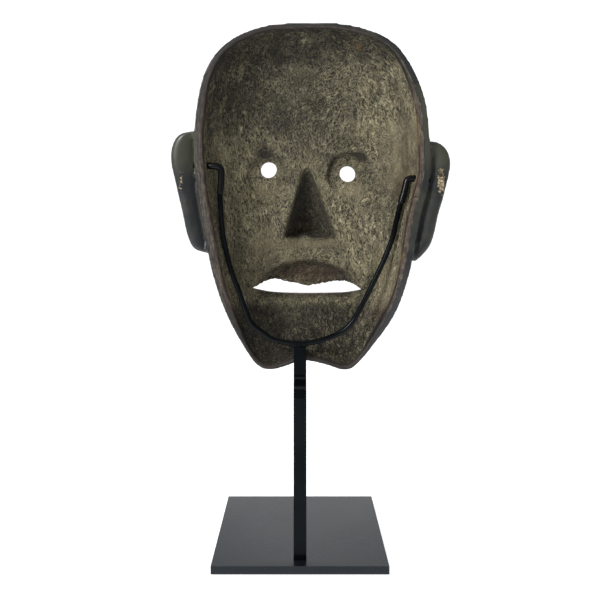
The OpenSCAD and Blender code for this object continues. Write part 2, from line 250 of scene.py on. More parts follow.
class Wiring:
    """Short calls for building one material's node tree."""

    def __init__(self, name: str) -> None:
        """Start an empty material with an output and a principled shader."""
        self.material = bpy.data.materials.new(name)
        self.material.use_nodes = True
        self.tree = self.material.node_tree
        self.tree.nodes.clear()
        self.shader = self.tree.nodes.new("ShaderNodeBsdfPrincipled")
        output = self.tree.nodes.new("ShaderNodeOutputMaterial")
        self.tree.links.new(self.shader.outputs["BSDF"], output.inputs["Surface"])
        self.place = self.tree.nodes.new("ShaderNodeTexCoord").outputs["Object"]

    def put(self, socket: bpy.types.NodeSocket, value) -> None:
        """Link a socket to value, or set its default to value."""
        if isinstance(value, bpy.types.NodeSocket):
            self.tree.links.new(value, socket)
        elif isinstance(value, tuple) and len(value) == 3 and socket.type == "RGBA":
            socket.default_value = (*value, 1.0)
        else:
            socket.default_value = value

    def attribute(self, name: str) -> bpy.types.NodeSocket:
        """A vertex attribute as a number."""
        node = self.tree.nodes.new("ShaderNodeAttribute")
        node.attribute_name = name
        return node.outputs["Fac"]

    def stretched(self, along: tuple, lean: float = 0.0) -> bpy.types.NodeSocket:
        """Coordinates that make a pattern longer along each axis and lean it about Y, in radians."""
        node = self.tree.nodes.new("ShaderNodeMapping")
        node.vector_type = "TEXTURE"
        node.inputs["Scale"].default_value = along
        node.inputs["Rotation"].default_value = (0.0, lean, 0.0)
        self.put(node.inputs["Vector"], self.place)
        return node.outputs["Vector"]

    def axis(self, name: str) -> bpy.types.NodeSocket:
        """One of the object coordinates, X, Y or Z, in metres."""
        node = self.tree.nodes.new("ShaderNodeSeparateXYZ")
        self.put(node.inputs[0], self.place)
        return node.outputs[name]

    def scaled(self, colour, share) -> bpy.types.NodeSocket:
        """A colour made darker or lighter by a number."""
        node = self.tree.nodes.new("ShaderNodeVectorMath")
        node.operation = "SCALE"
        self.put(node.inputs[0], colour)
        self.put(node.inputs["Scale"], share)
        return node.outputs[0]

    def noise(self, scale: float, detail: float = 2.0, rough: float = 0.5,
              distortion: float = 0.0, where=None) -> bpy.types.NodeSocket:
        """A noise pattern from 0 to 1; scale is its waves for each metre."""
        node = self.tree.nodes.new("ShaderNodeTexNoise")
        self.put(node.inputs["Vector"], where or self.place)
        node.inputs["Scale"].default_value = scale
        node.inputs["Detail"].default_value = detail
        node.inputs["Roughness"].default_value = rough
        node.inputs["Distortion"].default_value = distortion
        return node.outputs["Fac"]

    def math(self, operation: str, a, b=0.0, c=0.0) -> bpy.types.NodeSocket:
        """One arithmetic step on up to three values."""
        node = self.tree.nodes.new("ShaderNodeMath")
        node.operation = operation
        for socket, value in zip(node.inputs, (a, b, c)):
            self.put(socket, value)
        return node.outputs[0]

    def plus(self, a, b) -> bpy.types.NodeSocket:
        """Sum of two values."""
        return self.math("ADD", a, b)

    def minus(self, a, b) -> bpy.types.NodeSocket:
        """Value a less value b."""
        return self.math("SUBTRACT", a, b)

    def times(self, a, b) -> bpy.types.NodeSocket:
        """Product of two values."""
        return self.math("MULTIPLY", a, b)

    def about_middle(self, value, reach: float) -> bpy.types.NodeSocket:
        """A pattern from 0 to 1 carried to -reach/2..reach/2."""
        return self.times(self.minus(value, 0.5), reach)

    def span(self, value, low: float, high: float, to_low: float = 0.0,
             to_high: float = 1.0) -> bpy.types.NodeSocket:
        """Carry value from the range low..high to to_low..to_high, smoothly and clamped."""
        node = self.tree.nodes.new("ShaderNodeMapRange")
        node.interpolation_type = "SMOOTHSTEP"
        for socket, number in zip(node.inputs, (value, low, high, to_low, to_high)):
            self.put(socket, number)
        return node.outputs[0]

    def strings(self, scale: float, width: float, where=None,
                distortion: float = 0.8) -> bpy.types.NodeSocket:
        """Thin wandering lines: 1 on a line, 0 off it; width is from 0 to 0.5."""
        wave = self.noise(scale, 1.2, 0.5, distortion, where)
        off = self.math("ABSOLUTE", self.minus(wave, 0.5))
        return self.span(off, 0.0, width, 1.0, 0.0)

    def mix(self, share, a, b) -> bpy.types.NodeSocket:
        """Colour a turned into colour b by share."""
        node = self.tree.nodes.new("ShaderNodeMix")
        node.data_type = "RGBA"
        self.put(node.inputs["Factor"], share)
        self.put(node.inputs[6], a)
        self.put(node.inputs[7], b)
        return node.outputs[2]

    def blend(self, share, a, b) -> bpy.types.NodeSocket:
        """Number a turned into number b by share."""
        node = self.tree.nodes.new("ShaderNodeMix")
        node.data_type = "FLOAT"
        self.put(node.inputs["Factor"], share)
        self.put(node.inputs[2], a)
        self.put(node.inputs[3], b)
        return node.outputs[0]

    def relief(self, height, depth: float) -> bpy.types.NodeSocket:
        """A bump of that depth in metres."""
        node = self.tree.nodes.new("ShaderNodeBump")
        node.inputs["Strength"].default_value = 1.0
        node.inputs["Distance"].default_value = depth
        self.put(node.inputs["Height"], height)
        return node.outputs["Normal"]

    def surface(self, colour, roughness, normal=None, metallic: float = 0.0,
                specular: float = 0.5) -> bpy.types.Material:
        """Connect the shader and return the material."""
        self.put(self.shader.inputs["Base Color"], colour)
        self.put(self.shader.inputs["Roughness"], roughness)
        self.shader.inputs["Metallic"].default_value = metallic
        self.shader.inputs["Specular IOR Level"].default_value = specular
        if normal is not None:
            self.put(self.shader.inputs["Normal"], normal)
        return self.material


@dataclass(frozen=True)
class SatinPaint:
    """Sprayed satin paint on steel, with faint orange peel and handling marks."""

    name: str
    colour: tuple
    roughness: float
    sheen: float = 0.3
    peel_scale: float = 900.0
    peel_depth: float = 0.00002

    def make(self) -> bpy.types.Material:
        """Build the material."""
        w = Wiring(self.name)
        peel = w.noise(self.peel_scale, 2.0)
        cloud = w.noise(28.0, 3.0)
        scuffs = w.strings(60.0, 0.012, w.stretched((1.0, 0.5, 1.5)), 1.5)
        light = tuple(c * 1.22 + 0.002 for c in self.colour)
        colour = w.mix(w.span(cloud, 0.35, 0.7), self.colour, light)
        rough = w.blend(w.span(cloud, 0.3, 0.75), self.roughness - 0.04, self.roughness + 0.06)
        rough = w.plus(rough, w.times(scuffs, 0.05))
        w.shader.inputs["Specular Tint"].default_value = (0.82, 0.92, 1.0, 1.0)
        return w.surface(colour, rough, w.relief(peel, self.peel_depth), specular=self.sheen)


@dataclass(frozen=True)
class ShrinkTubing:
    """Glossy black tubing with fine lines round and along it."""

    name: str = "shrink_tubing"

    def make(self) -> bpy.types.Material:
        """Build the material."""
        w = Wiring(self.name)
        wrinkles = w.noise(320.0, 3.0, 0.6, 0.4, w.stretched((1.0, 1.0, 3.0)))
        dust = w.span(w.noise(1400.0, 1.0), 0.62, 0.8)
        colour = w.mix(dust, (0.0025, 0.0028, 0.0034), (0.02, 0.02, 0.02))
        rough = w.blend(wrinkles, 0.14, 0.30)
        return w.surface(colour, rough, w.relief(wrinkles, 0.00012), specular=0.22)


@dataclass(frozen=True)
class ZincSteel:
    """Zinc-plated screw with a fine turned grain."""

    name: str = "zinc_plated_steel"

    def make(self) -> bpy.types.Material:
        """Build the material."""
        w = Wiring(self.name)
        grain = w.noise(900.0, 2.0, 0.5, 0.0, w.stretched((1.0, 1.0, 0.16)))
        colour = w.mix(grain, (0.42, 0.43, 0.44), (0.66, 0.67, 0.66))
        return w.surface(colour, w.blend(grain, 0.24, 0.42), w.relief(grain, 0.00003), metallic=1.0)


@dataclass(frozen=True)
class PressedFelt:
    """Black wool felt: short fibres in every direction."""

    name: str = "black_felt"

    def make(self) -> bpy.types.Material:
        """Build the material."""
        w = Wiring(self.name)
        fibres = w.math("MAXIMUM", w.strings(900.0, 0.06), w.strings(1300.0, 0.05))
        colour = w.mix(fibres, (0.010, 0.010, 0.011), (0.045, 0.044, 0.043))
        w.shader.inputs["Sheen Weight"].default_value = 0.35
        w.shader.inputs["Sheen Roughness"].default_value = 0.6
        return w.surface(colour, 0.95, w.relief(fibres, 0.00025), specular=0.2)


@dataclass(frozen=True)
class AgedMask:
    """Old carved wood: crusted bare wood inside, dark lacquer outside, worn rim, red lips.

    The vertex attributes hollow, rim, lip_line, lip_wear, lip_paint, wear, olive and chip say
    where each finish lies; stain and wall add stains and tool marks to the hollow, and further
    attributes give it darker patches partly painted shade, pale patches partly painted light,
    painted shade in its recesses and a brightness partly random and partly painted light and
    shade; inset and along run across and round the rim.
    """

    name: str = "aged_carved_wood"
    shadow: tuple = (0.026, 0.021, 0.019)
    khaki: tuple = (0.470, 0.422, 0.262)
    grey: tuple = (0.063, 0.052, 0.051)
    olive: tuple = (0.071, 0.062, 0.034)
    # pale colour, used for pale patches and for painted light on the right inner wall
    pale_and_lit: tuple = (0.255, 0.218, 0.134)
    # darkest ground, used for the hollow's darker patches and for painted shade
    dark_patch_and_shade: tuple = (0.024, 0.019, 0.019)
    umber: tuple = (0.085, 0.044, 0.028)
    lacquer: tuple = (0.017, 0.020, 0.022)
    olive_lacquer: tuple = (0.050, 0.053, 0.038)
    red: tuple = (0.062, 0.016, 0.012)
    # brighter red: painted highlight on the lower lip's upward-facing ledge
    lit_red: tuple = (0.150, 0.027, 0.022)
    gesso: tuple = (0.50, 0.45, 0.33)
    ochre: tuple = (0.20, 0.135, 0.060)

    def crust(self, w: Wiring) -> bpy.types.NodeSocket:
        """Strings of old crust that run upright in some places and lean in others.

        Args:
            w: The material's wiring.

        Returns:
            Their height, from 0 to 1.
        """
        upright = w.strings(320.0, 0.13, w.stretched((1.0, 1.0, 2.3), 0.22), 1.1)
        leaning = w.strings(340.0, 0.13, w.stretched((1.0, 1.0, 2.0), -0.75), 1.1)
        place = w.span(w.noise(16.0, 3.0), 0.44, 0.56)
        strings = w.blend(place, upright, leaning)
        threads = w.strings(560.0, 0.14, w.stretched((1.0, 1.0, 1.8), 0.4), 0.8)
        return w.math("MAXIMUM", strings, w.times(threads, 0.7))

    def bare_wood(self, w: Wiring) -> tuple:
        """Colour and fine height of the crusted hollow.

        Args:
            w: The material's wiring.

        Returns:
            The colour and the height sockets.
        """
        pale_and_lit, dark_patch_and_shade = w.attribute("pale_and_lit"), w.attribute("dark_patch_and_shade")
        uneven = w.minus(w.noise(48.0, 5.0, 0.62), 0.5)
        pale_and_lit = w.span(w.plus(pale_and_lit, w.times(uneven, 1.1)), 0.15, 0.85)
        dark_patch_and_shade = w.span(w.minus(dark_patch_and_shade, w.times(uneven, 1.0)), 0.05, 0.95)
        strings = self.crust(w)
        strings = w.blend(dark_patch_and_shade, strings, w.math("POWER", strings, 2.6))
        grit = w.noise(1200.0, 2.0, 0.6)
        pits = w.span(w.noise(480.0, 3.0, 0.6, 0.6), 0.40, 0.58, 1.0, 0.0)
        ground = w.mix(w.span(w.noise(34.0, 4.0, 0.62), 0.36, 0.64), self.olive, self.grey)
        ground = w.mix(w.span(w.noise(17.0, 3.0, 0.6), 0.58, 0.74), ground, self.umber)
        # darker patches, partly a darker ground and partly painted shade in the pits, on the left wall
        # and under the top of the rim
        ground = w.mix(w.times(dark_patch_and_shade, 0.8), ground, self.dark_patch_and_shade)
        ground = w.mix(w.times(pits, w.blend(pale_and_lit, 0.8, 0.3)), ground, self.shadow)
        crusted = w.times(w.blend(pale_and_lit, 0.84, 0.38), w.blend(dark_patch_and_shade, 1.0, 0.74))
        colour = w.mix(w.times(strings, crusted), ground, self.khaki)
        # pale patches, partly painted light on the right inner wall where the key light falls
        colour = w.mix(w.times(pale_and_lit, 0.66), colour, self.pale_and_lit)
        colour = w.scaled(colour, w.span(w.noise(75.0, 4.0, 0.6), 0.3, 0.7, 0.74, 1.22))
        colour = w.mix(w.times(w.attribute("stain"), 0.7), colour, self.umber)
        marks = w.noise(95.0, 3.0, 0.6, 0.2, w.stretched((1.0, 1.0, 12.0), 0.08))
        marks = w.span(marks, 0.35, 0.65, 0.62, 1.25)
        colour = w.scaled(colour, w.blend(w.attribute("wall"), 1.0, marks))
        # painted shade in the eye recesses, the scoops above the eyes and the nose pit
        colour = w.mix(w.times(w.attribute("recess_shade"), 0.86), colour, self.shadow)
        rough = w.blend(pale_and_lit, 1.0, 0.45)
        height = w.plus(strings, w.times(grit, 0.3))
        height = w.minus(height, w.times(pits, 0.7))
        return colour, w.times(height, rough)

    def lacquered(self, w: Wiring) -> tuple:
        """Colour and roughness of the outside lacquer.

        Args:
            w: The material's wiring.

        Returns:
            The colour and the roughness sockets.
        """
        cloud = w.noise(24.0, 4.0, 0.6)
        olive = w.plus(w.span(cloud, 0.46, 0.70), w.times(w.attribute("olive"), 0.9))
        colour = w.mix(w.math("MINIMUM", olive, 1.0), self.lacquer, self.olive_lacquer)
        crackle = w.strings(210.0, 0.02, None, 0.5)
        colour = w.mix(w.times(crackle, 0.3), colour, self.umber)
        worn = w.times(w.attribute("wear"), w.span(w.noise(150.0, 4.0, 0.7), 0.38, 0.6))
        colour = w.mix(worn, colour, self.umber)
        rough = w.blend(w.span(w.noise(70.0, 3.0), 0.3, 0.7), 0.28, 0.46)
        rough = w.plus(rough, w.times(worn, 0.3))
        return colour, rough

    def make(self) -> bpy.types.Material:
        """Build the material."""
        w = Wiring(self.name)
        wood, fine = self.bare_wood(w)
        coat, coat_rough = self.lacquered(w)
        ragged = w.plus(w.attribute("hollow"), w.times(w.noise(260.0, 2.0), 0.3))
        inside = w.span(ragged, 0.55, 0.75)
        colour = w.mix(inside, coat, wood)
        rough = w.blend(inside, coat_rough, 0.86)

        track = w.tree.nodes.new("ShaderNodeCombineXYZ")
        w.put(track.inputs["X"], w.attribute("inset"))
        w.put(track.inputs["Y"], w.times(w.attribute("along"), 0.12))
        grain = w.noise(700.0, 4.0, 0.65, 0.3, track.outputs[0])
        band = w.mix(w.span(grain, 0.38, 0.66), (0.036, 0.027, 0.021), (0.122, 0.102, 0.074))
        band = w.scaled(band, w.span(w.noise(230.0, 4.0, 0.65, 0.4), 0.36, 0.64, 0.62, 1.42))
        # the rim band takes the same darker patches and painted shade
        band = w.mix(w.times(w.attribute("dark_patch_and_shade"), 0.78), band, self.dark_patch_and_shade)
        ragged_rim = w.plus(w.attribute("rim"), w.about_middle(grain, 0.8))
        rim = w.span(ragged_rim, 0.35, 0.6)
        colour = w.mix(rim, colour, band)
        rough = w.blend(rim, rough, 0.55)
        # brightness of the hollow and rim: partly random variation, partly painted light and shade
        light_and_tone = w.blend(w.math("MAXIMUM", inside, rim), 1.0, w.attribute("light_and_tone"))
        colour = w.scaled(colour, light_and_tone)

        edge = w.times(w.attribute("lip_line"), w.span(w.noise(90.0, 3.0), 0.30, 0.5))
        colour = w.mix(edge, colour, (0.060, 0.020, 0.014))
        bright = w.times(w.attribute("lip_wear"), w.span(w.noise(75.0, 4.0), 0.50, 0.60))
        colour = w.mix(bright, colour, self.ochre)

        paint = w.plus(w.attribute("lip_paint"), w.about_middle(w.noise(140.0, 4.0, 0.7), 1.6))
        painted = w.span(paint, 0.66, 0.80)
        red = w.mix(w.span(w.noise(60.0, 3.0), 0.35, 0.7), self.red, (0.032, 0.013, 0.011))
        # brighter red where the paint share passes 1, on the upward-facing ledge of the lower lip: a
        # painted highlight
        red = w.mix(w.span(w.attribute("lip_paint"), 1.0, 1.5), red, self.lit_red)
        colour = w.mix(painted, colour, red)
        rough = w.blend(painted, rough, 0.42)

        flake = w.plus(w.attribute("chip"), w.about_middle(w.noise(380.0, 4.0, 0.7), 2.0))
        chipped = w.span(flake, 0.60, 0.68)
        under = w.mix(w.span(w.noise(900.0, 3.0, 0.6), 0.46, 0.60), self.ochre, self.gesso)
        colour = w.mix(chipped, colour, under)
        rough = w.blend(chipped, rough, 0.8)

        fine = w.times(fine, inside)
        coarse = w.times(grain, rim)
        height = w.plus(fine, w.times(coarse, 0.5))
        height = w.minus(height, w.times(chipped, 0.8))
        return w.surface(colour, rough, w.relief(height, 0.0020), specular=0.4)


@dataclass(frozen=True)
class PaleFloor:
    """Seamless white paper that glows, bright behind the object and greyer towards the viewer."""

    name: str = "pale_paper"
    bright_to: float = 0.28
    grey_from: float = 1.3

    def make(self) -> bpy.types.Material:
        """Build the material."""
        w = Wiring(self.name)
        far = w.span(w.axis("Y"), self.bright_to, self.grey_from)
        w.shader.inputs["Emission Color"].default_value = (1.0, 1.0, 1.0, 1.0)
        # painted light: the paper itself glows, strongly behind the object and faintly towards the
        # viewer, and lights the object though it is no lamp
        w.put(w.shader.inputs["Emission Strength"], w.blend(far, 0.72, 0.06))
        fibre = w.span(w.noise(350.0, 3.0), 0.3, 0.7)
        white = w.mix(fibre, (0.66, 0.66, 0.665), (0.70, 0.70, 0.70))
        return w.surface(w.mix(far, white, (0.36, 0.36, 0.36)), 0.9, specular=0.1)


# ---------------------------------------------------------------- the mask


@dataclass
class MaskForm:
    """The carver's shape, in millimetres from the middle of the mask: u across, v up, w forward."""

    middle: tuple = (-8.0, 275.0)
    rim_y: float = 48.0
    throat_setback: float = 12.4
    face_depth: float = 58.0
    hollow_depth: float = 46.0
    hollow_bevel: float = 2.5
    face_line: float = 2.0
    eye_r: float = 6.6
    eyes: tuple = ((33.3, 23.8), (-30.6, 20.6))
    rim: list = field(default_factory=lambda: [
        [4, 128], [28, 127], [48, 121.5], [64, 112], [76, 97], [83, 75], [86.5, 42], [84.5, 5],
        [79, -28], [71.5, -63], [62.2, -91], [48.6, -117], [40, -128], [31, -131], [20, -128.5],
        [5, -124], [-13, -127.5], [-24, -131], [-33, -129], [-45.3, -115.3], [-63.4, -88], [-73.8, -55],
        [-80.5, -17], [-88.5, 18], [-88, 42], [-84, 73], [-73, 99], [-58, 116], [-38, 124.5],
        [-17, 128]])

    def rim_step(self, v: np.ndarray) -> np.ndarray:
        """How far the rim lies in front of the rim's plane."""
        return self.throat_setback * smooth((-45 - v) / 78)

    def rim_band(self, u: np.ndarray, v: np.ndarray) -> np.ndarray:
        """Width of the rim."""
        return ((8.3 - 0.008 * u) * (1 - 0.5 * smooth((v - 70) / 55))
                * (1 - 0.5 * smooth((-v - 85) / 40)))

    # The face's features, added to its plain depth

    def nose(self, u: np.ndarray, v: np.ndarray) -> np.ndarray:
        """Bridge, tip, wings and nostrils."""
        d = u - self.face_line
        t = np.clip((30 - v) / 52, 0, 1)
        bridge = ((5 + 22 * t ** 1.3) * np.exp(-((d / (7 + 9 * t)) ** 2))
                  * smooth((v + 38.5) / 11) * smooth((46 - v) / 18))
        tip = 4 * bump(d, v, (0, -21), (9, 9))
        wings = 9 * (bump(d, v, (14.5, -25), (6.5, 8)) + bump(d, v, (-14.5, -25), (6.5, 8)))
        nostrils = 3 * (bump(d, v, (7.5, -34.5), (4, 2.6)) + bump(d, v, (-7.5, -34.5), (4, 2.6)))
        return bridge + tip + wings - nostrils

    def brow(self, u: np.ndarray, v: np.ndarray) -> np.ndarray:
        """One arch over each eye."""
        d = np.abs(u - self.face_line)
        arch = 46 - 0.006 * (d - 32) ** 2
        return 4.5 * np.exp(-(((v - arch) / 6.5) ** 2)) * smooth((d - 4) / 10) * smooth((62 - d) / 18)

    def eye(self, u: np.ndarray, v: np.ndarray, at: tuple) -> np.ndarray:
        """Socket, almond lids and the crease over the upper lid."""
        du, dv = (u - at[0]) / 21, (v - at[1]) / 12.5
        r2 = du ** 2 + dv ** 2
        socket = -3.4 * np.exp(-r2 / 1.4)
        ball = 6.2 * np.sqrt(np.clip(1 - r2, 0, None))
        crease_v = 11.5 * np.sqrt(np.clip(1 - du ** 2, 0, None)) + 1.5
        crease = 1.8 * np.exp(-(((v - at[1]) - crease_v) / 1.5) ** 2) * smooth((1 - np.abs(du)) / 0.25)
        slit = 1.0 * np.exp(-(((v - at[1]) / 1.4) ** 2)) * smooth((1 - np.abs(du)) / 0.2)
        return socket + ball - crease - slit * smooth((np.abs(du) - 0.3) / 0.15)

    def lips(self, u: np.ndarray, v: np.ndarray) -> tuple:
        """Height of the two lips and how much of the red paint lies there.

        Args:
            u: Places across the face.
            v: Places up the face.

        Returns:
            The lips' height and the paint's share.
        """
        d = u - self.face_line - 1
        reach = np.clip(1 - (d / 47) ** 2, 0, None)
        bow = 1.3 * np.exp(-((np.abs(d) - 8) / 6) ** 2) - 1.0 * np.exp(-((d / 4) ** 2))
        upper = (v - (-61.5 + 1.5 * reach)) / (1.2 + 5.2 * reach + bow)
        lower = (v - (-80.5 - 1.0 * reach)) / (1.2 + 5.8 * reach)
        top = np.sqrt(np.clip(1 - upper ** 2, 0, None)) * np.sqrt(reach)
        low = np.sqrt(np.clip(1 - lower ** 2, 0, None)) * np.sqrt(reach)
        height = np.maximum(5.5 * top, 6.0 * low)
        swell = 6.5 * bump(d, v, (0, -70), (38, 21))
        fall = np.sqrt(reach)
        paint = smooth((-71.5 + 10 * fall - v) / 2.5) * smooth((v + 73.5 + 7.5 * fall) / 2.5)
        return height + swell, paint * smooth(reach / 0.12)

    def face_relief(self, u: np.ndarray, v: np.ndarray) -> np.ndarray:
        """All the features of the face."""
        d = u - self.face_line
        lips, _ = self.lips(u, v)
        philtrum = 1.3 * np.exp(-((d / 2.6) ** 2)) * smooth((v + 54) / 4) * smooth((-37 - v) / 5)
        cheeks = 4.5 * (bump(d, v, (45, -16), (20, 22)) + bump(d, v, (-45, -16), (20, 22)))
        temples = 2.5 * (bump(d, v, (72, 48), (14, 26)) + bump(d, v, (-72, 48), (14, 26)))
        fold = 1.2 * np.exp(-((np.abs(d) - 27 - 0.35 * (-v - 30)) / 3.0) ** 2) \
            * smooth((-28 - v) / 10) * smooth((v + 72) / 12)
        chin = 9 * bump(d, v, (0, -110), (23, 12)) - 3 * bump(d, v, (0, -96), (24, 4))
        return (self.nose(u, v) + self.brow(u, v) + self.eye(u, v, self.eyes[0])
                + self.eye(u, v, self.eyes[1]) + lips - philtrum + cheeks - temples - fold + chin)

    # The pits behind the features, added to the hollow's plain depth

    def nose_pit(self, u: np.ndarray, v: np.ndarray) -> np.ndarray:
        """Three-sided pit with a two-lobed lower end."""
        t = np.clip((26 - v) / 58, 0, 1)
        middle = 2.3 - 2.9 * t
        across = (u - middle) / (3 + 20 * t)
        sides = np.clip(1 - np.abs(across) ** 2.6, 0, None)
        foot = -30.5 + 2.2 * np.exp(-((u - 3.5) / 3.5) ** 2)
        return 28 * t ** 0.65 * sides * smooth((v - foot + 1.8) / 3.6)

    def lip_pit(self, u: np.ndarray, v: np.ndarray) -> np.ndarray:
        """Crescent behind the upper lip."""
        arch = -47 - 17 * ((u - 2) / 42) ** 2
        return 11 * smooth((arch - v) / 7) * smooth((v + 82) / 10) * smooth((46 - np.abs(u - 2)) / 16)

    def eye_recess(self, u: np.ndarray, v: np.ndarray) -> np.ndarray:
        """A round recess about each eye hole, deep above it and shallow below it."""
        left = np.hypot(u - 33.5, v - 17.5)
        right = np.hypot(u + 32, v - 19.5)
        left_high = 0.35 + 0.65 * smooth(0.5 + (0.25 * (u - 33.5) + 0.97 * (v - 17.5)) / 24)
        right_high = 0.30 + 0.70 * smooth(0.5 + (0.62 * (u + 32) + 0.78 * (v - 19.5)) / 26)
        scoops = 1.5 * bump(u, v, (36, 36), (6, 3.5)) + 1.5 * bump(u, v, (-39, 35), (7, 4))
        return (4.6 * left_high * smooth((17.5 - left) / 3.6)
                + 5.0 * right_high * smooth((18.5 - right) / 2.2) + scoops)

    def hollow_relief(self, u: np.ndarray, v: np.ndarray) -> np.ndarray:
        """All the pits of the hollow."""
        return self.nose_pit(u, v) + self.lip_pit(u, v) + self.eye_recess(u, v)

    # The shell's surfaces

    @staticmethod
    def depth_share(s: float, roundness: np.ndarray) -> np.ndarray:
        """Share of the full depth at a share s of the way from the middle to the rim."""
        return np.sqrt(np.clip(1 - s ** (2 / roundness), 0, None))

    def chin_drop(self, u: np.ndarray, v: np.ndarray, s: float) -> np.ndarray:
        """Closes the throat's arch gradually towards the front."""
        drop = (v + 133) * smooth((34 - np.abs(u - 3.5)) / 12) * smooth((1 - s) / 0.08)
        return np.where(v > -90, 0, drop)

    def face_ring(self, edge: np.ndarray, s: float) -> np.ndarray:
        """Points (u, w, v) of the face at a share s of the way to the rim."""
        u0, v0 = edge[:, 0], edge[:, 1]
        u, v = u0 * s, (v0 - self.chin_drop(u0, v0, s)) * s
        rise = self.depth_share(s, 0.66 - 0.36 * smooth((-40 - v0) / 70))
        step = self.rim_step(v0)
        w = step + (self.face_depth - step) * rise
        w = w + self.face_relief(u, v) * smooth((1 - s) / 0.1)
        return np.stack([u, w, v], 1)

    def hollow_ring(self, edge: np.ndarray, s: float) -> np.ndarray:
        """Points (u, w, v) of the hollow at a share s of the way to the rim."""
        u0, v0 = edge[:, 0], edge[:, 1]
        inset = self.rim_band(u0, v0) + self.hollow_bevel * smooth((1 - s) / 0.04)
        shrink = (1 - inset / np.hypot(u0, v0)) * s
        u, v = u0 * shrink, v0 * shrink
        rise = self.depth_share(s, 0.6 - 0.1 * smooth((-40 - v0) / 70)) ** 1.1
        step = self.rim_step(v0)
        w = step + 0.6 + (self.hollow_depth - step - 0.6) * rise
        w = w + self.hollow_relief(u, v) * smooth((1 - s) / 0.1)
        return np.stack([u, w, v], 1)

    def rim_ring(self, edge: np.ndarray, inset: np.ndarray | float) -> np.ndarray:
        """Points (u, w, v) of the rim's flat, set in from its outer edge."""
        u0, v0 = edge[:, 0], edge[:, 1]
        shrink = 1 - inset / np.hypot(u0, v0)
        return np.stack([u0 * shrink, self.rim_step(v0), v0 * shrink], 1)

    def to_frame(self, p: np.ndarray) -> np.ndarray:
        """Turn points (u, w, v) in millimetres into the frame, in metres."""
        return np.stack([self.middle[0] + p[:, 0], self.rim_y - p[:, 1],
                         self.middle[1] + p[:, 2]], 1) * MM

    def from_frame(self, co: np.ndarray) -> tuple:
        """Turn frame points in metres into u, w and v in millimetres."""
        mm = co / MM
        return mm[:, 0] - self.middle[0], self.rim_y - mm[:, 1], mm[:, 2] - self.middle[1]

    def inward(self, points: np.ndarray) -> np.ndarray:
        """How much nearer each point (u, w, v) lies to the hollow than to the face, in millimetres."""
        edge = curve_through(self.rim, 6, closed=True)
        shares = np.sin(math.pi / 2 * np.arange(0, 61) / 60)
        away = []
        for ring in (self.face_ring, self.hollow_ring):
            skin = np.concatenate([ring(edge, s) for s in shares])
            tree = KDTree(len(skin))
            for i, p in enumerate(skin):
                tree.insert(p, i)
            tree.balance()
            away.append(np.array([tree.find(p)[2] for p in points]))
        return away[0] - away[1]

    def edge_inset(self, u: np.ndarray, v: np.ndarray) -> np.ndarray:
        """How far each place lies inside the rim's outer edge, along the line to the middle."""
        edge = curve_through(self.rim, 8, closed=True)
        angle = np.arctan2(edge[:, 1], edge[:, 0])
        order = np.argsort(angle)
        reach = np.interp(np.arctan2(v, u), angle[order], np.hypot(*edge[order].T), period=2 * math.pi)
        return reach - np.hypot(u, v)


@dataclass
class EarForm:
    """One ear: a leaf that stands back from the side of the head, in the mask's millimetres."""

    side: int
    edge: list
    root_x: float = 61.0
    root_y: float = 14.0
    back_y: float = 40.0
    half_thickness: float = 2.4
    edge_steps: int = 10
    rows: int = 34

    def surface(self, face: int) -> np.ndarray:
        """Grid of points on the face side (-1) or the back side (1), in metres."""
        e = curve_through(self.edge, self.edge_steps)
        t = np.linspace(0, 1, len(e))[:, None]
        b = np.linspace(0, 1, self.rows)[None, :]
        root = self.side * (self.root_x + 0.08 * (e[:, 1:2] + 40))
        x = root + (e[:, 0:1] - root) * b
        z = e[:, 1:2] * (0.82 + 0.18 * b)
        back = self.root_y + (self.back_y - self.root_y) * (1 - (1 - b) ** 2)
        round_off = np.sqrt(np.clip(1 - ((b - 0.86) / 0.14).clip(0) ** 2, 0, None))
        half = self.half_thickness * np.maximum(round_off, 0.12)
        if face < 0:
            ends = smooth(t / 0.08) * smooth((1 - t) / 0.08)
            helix = 2.6 * np.exp(-(((b - 0.86) / 0.10) ** 2)) * smooth(t / 0.2)
            fork = 0.60 + 0.10 * np.sin(t * math.pi)
            antihelix = 2.4 * np.exp(-(((b - fork) / 0.07) ** 2)) * smooth((t - 0.15) / 0.2) \
                * smooth((1.0 - t) / 0.15)
            bowl = 1.6 * np.exp(-(((b - 0.40) / 0.14) ** 2)) * np.exp(-(((t - 0.45) / 0.25) ** 2))
            lobe = 1.8 * np.exp(-(((t - 0.08) / 0.10) ** 2)) * np.exp(-(((b - 0.7) / 0.25) ** 2))
            half = half + (helix + antihelix + lobe - bowl) * ends * np.minimum(1, round_off + 0.2)
        x = x - self.side * face * half * 0.5 + 0 * b
        y = back + face * half
        return np.stack([x, np.broadcast_to(y, x.shape), z], 2)

    def mesh(self, name: str, middle: tuple) -> bpy.types.Object:
        """Make the ear as a closed mesh.

        Args:
            name: The object's name.
            middle: The mask's middle, (x, z) in millimetres.

        Returns:
            The ear's object.
        """
        front, back = self.surface(-1), self.surface(1)
        rows, cols = front.shape[:2]
        loop = np.concatenate([front, back[:, ::-1]], 1)
        pts = loop.reshape(-1, 3) + np.array([middle[0], 0, middle[1]])
        n = 2 * cols
        faces = [(i * n + j, (i + 1) * n + j, (i + 1) * n + (j + 1) % n, i * n + (j + 1) % n)
                 for i in range(rows - 1) for j in range(n)]
        for start in (0, (rows - 1) * n):
            faces += [(start + j, start + j + 1, start + n - 2 - j, start + n - 1 - j)
                      for j in range(cols - 1)]
        ear = mesh_object(name, pts * MM, faces)
        turn_outwards(ear)
        return ear


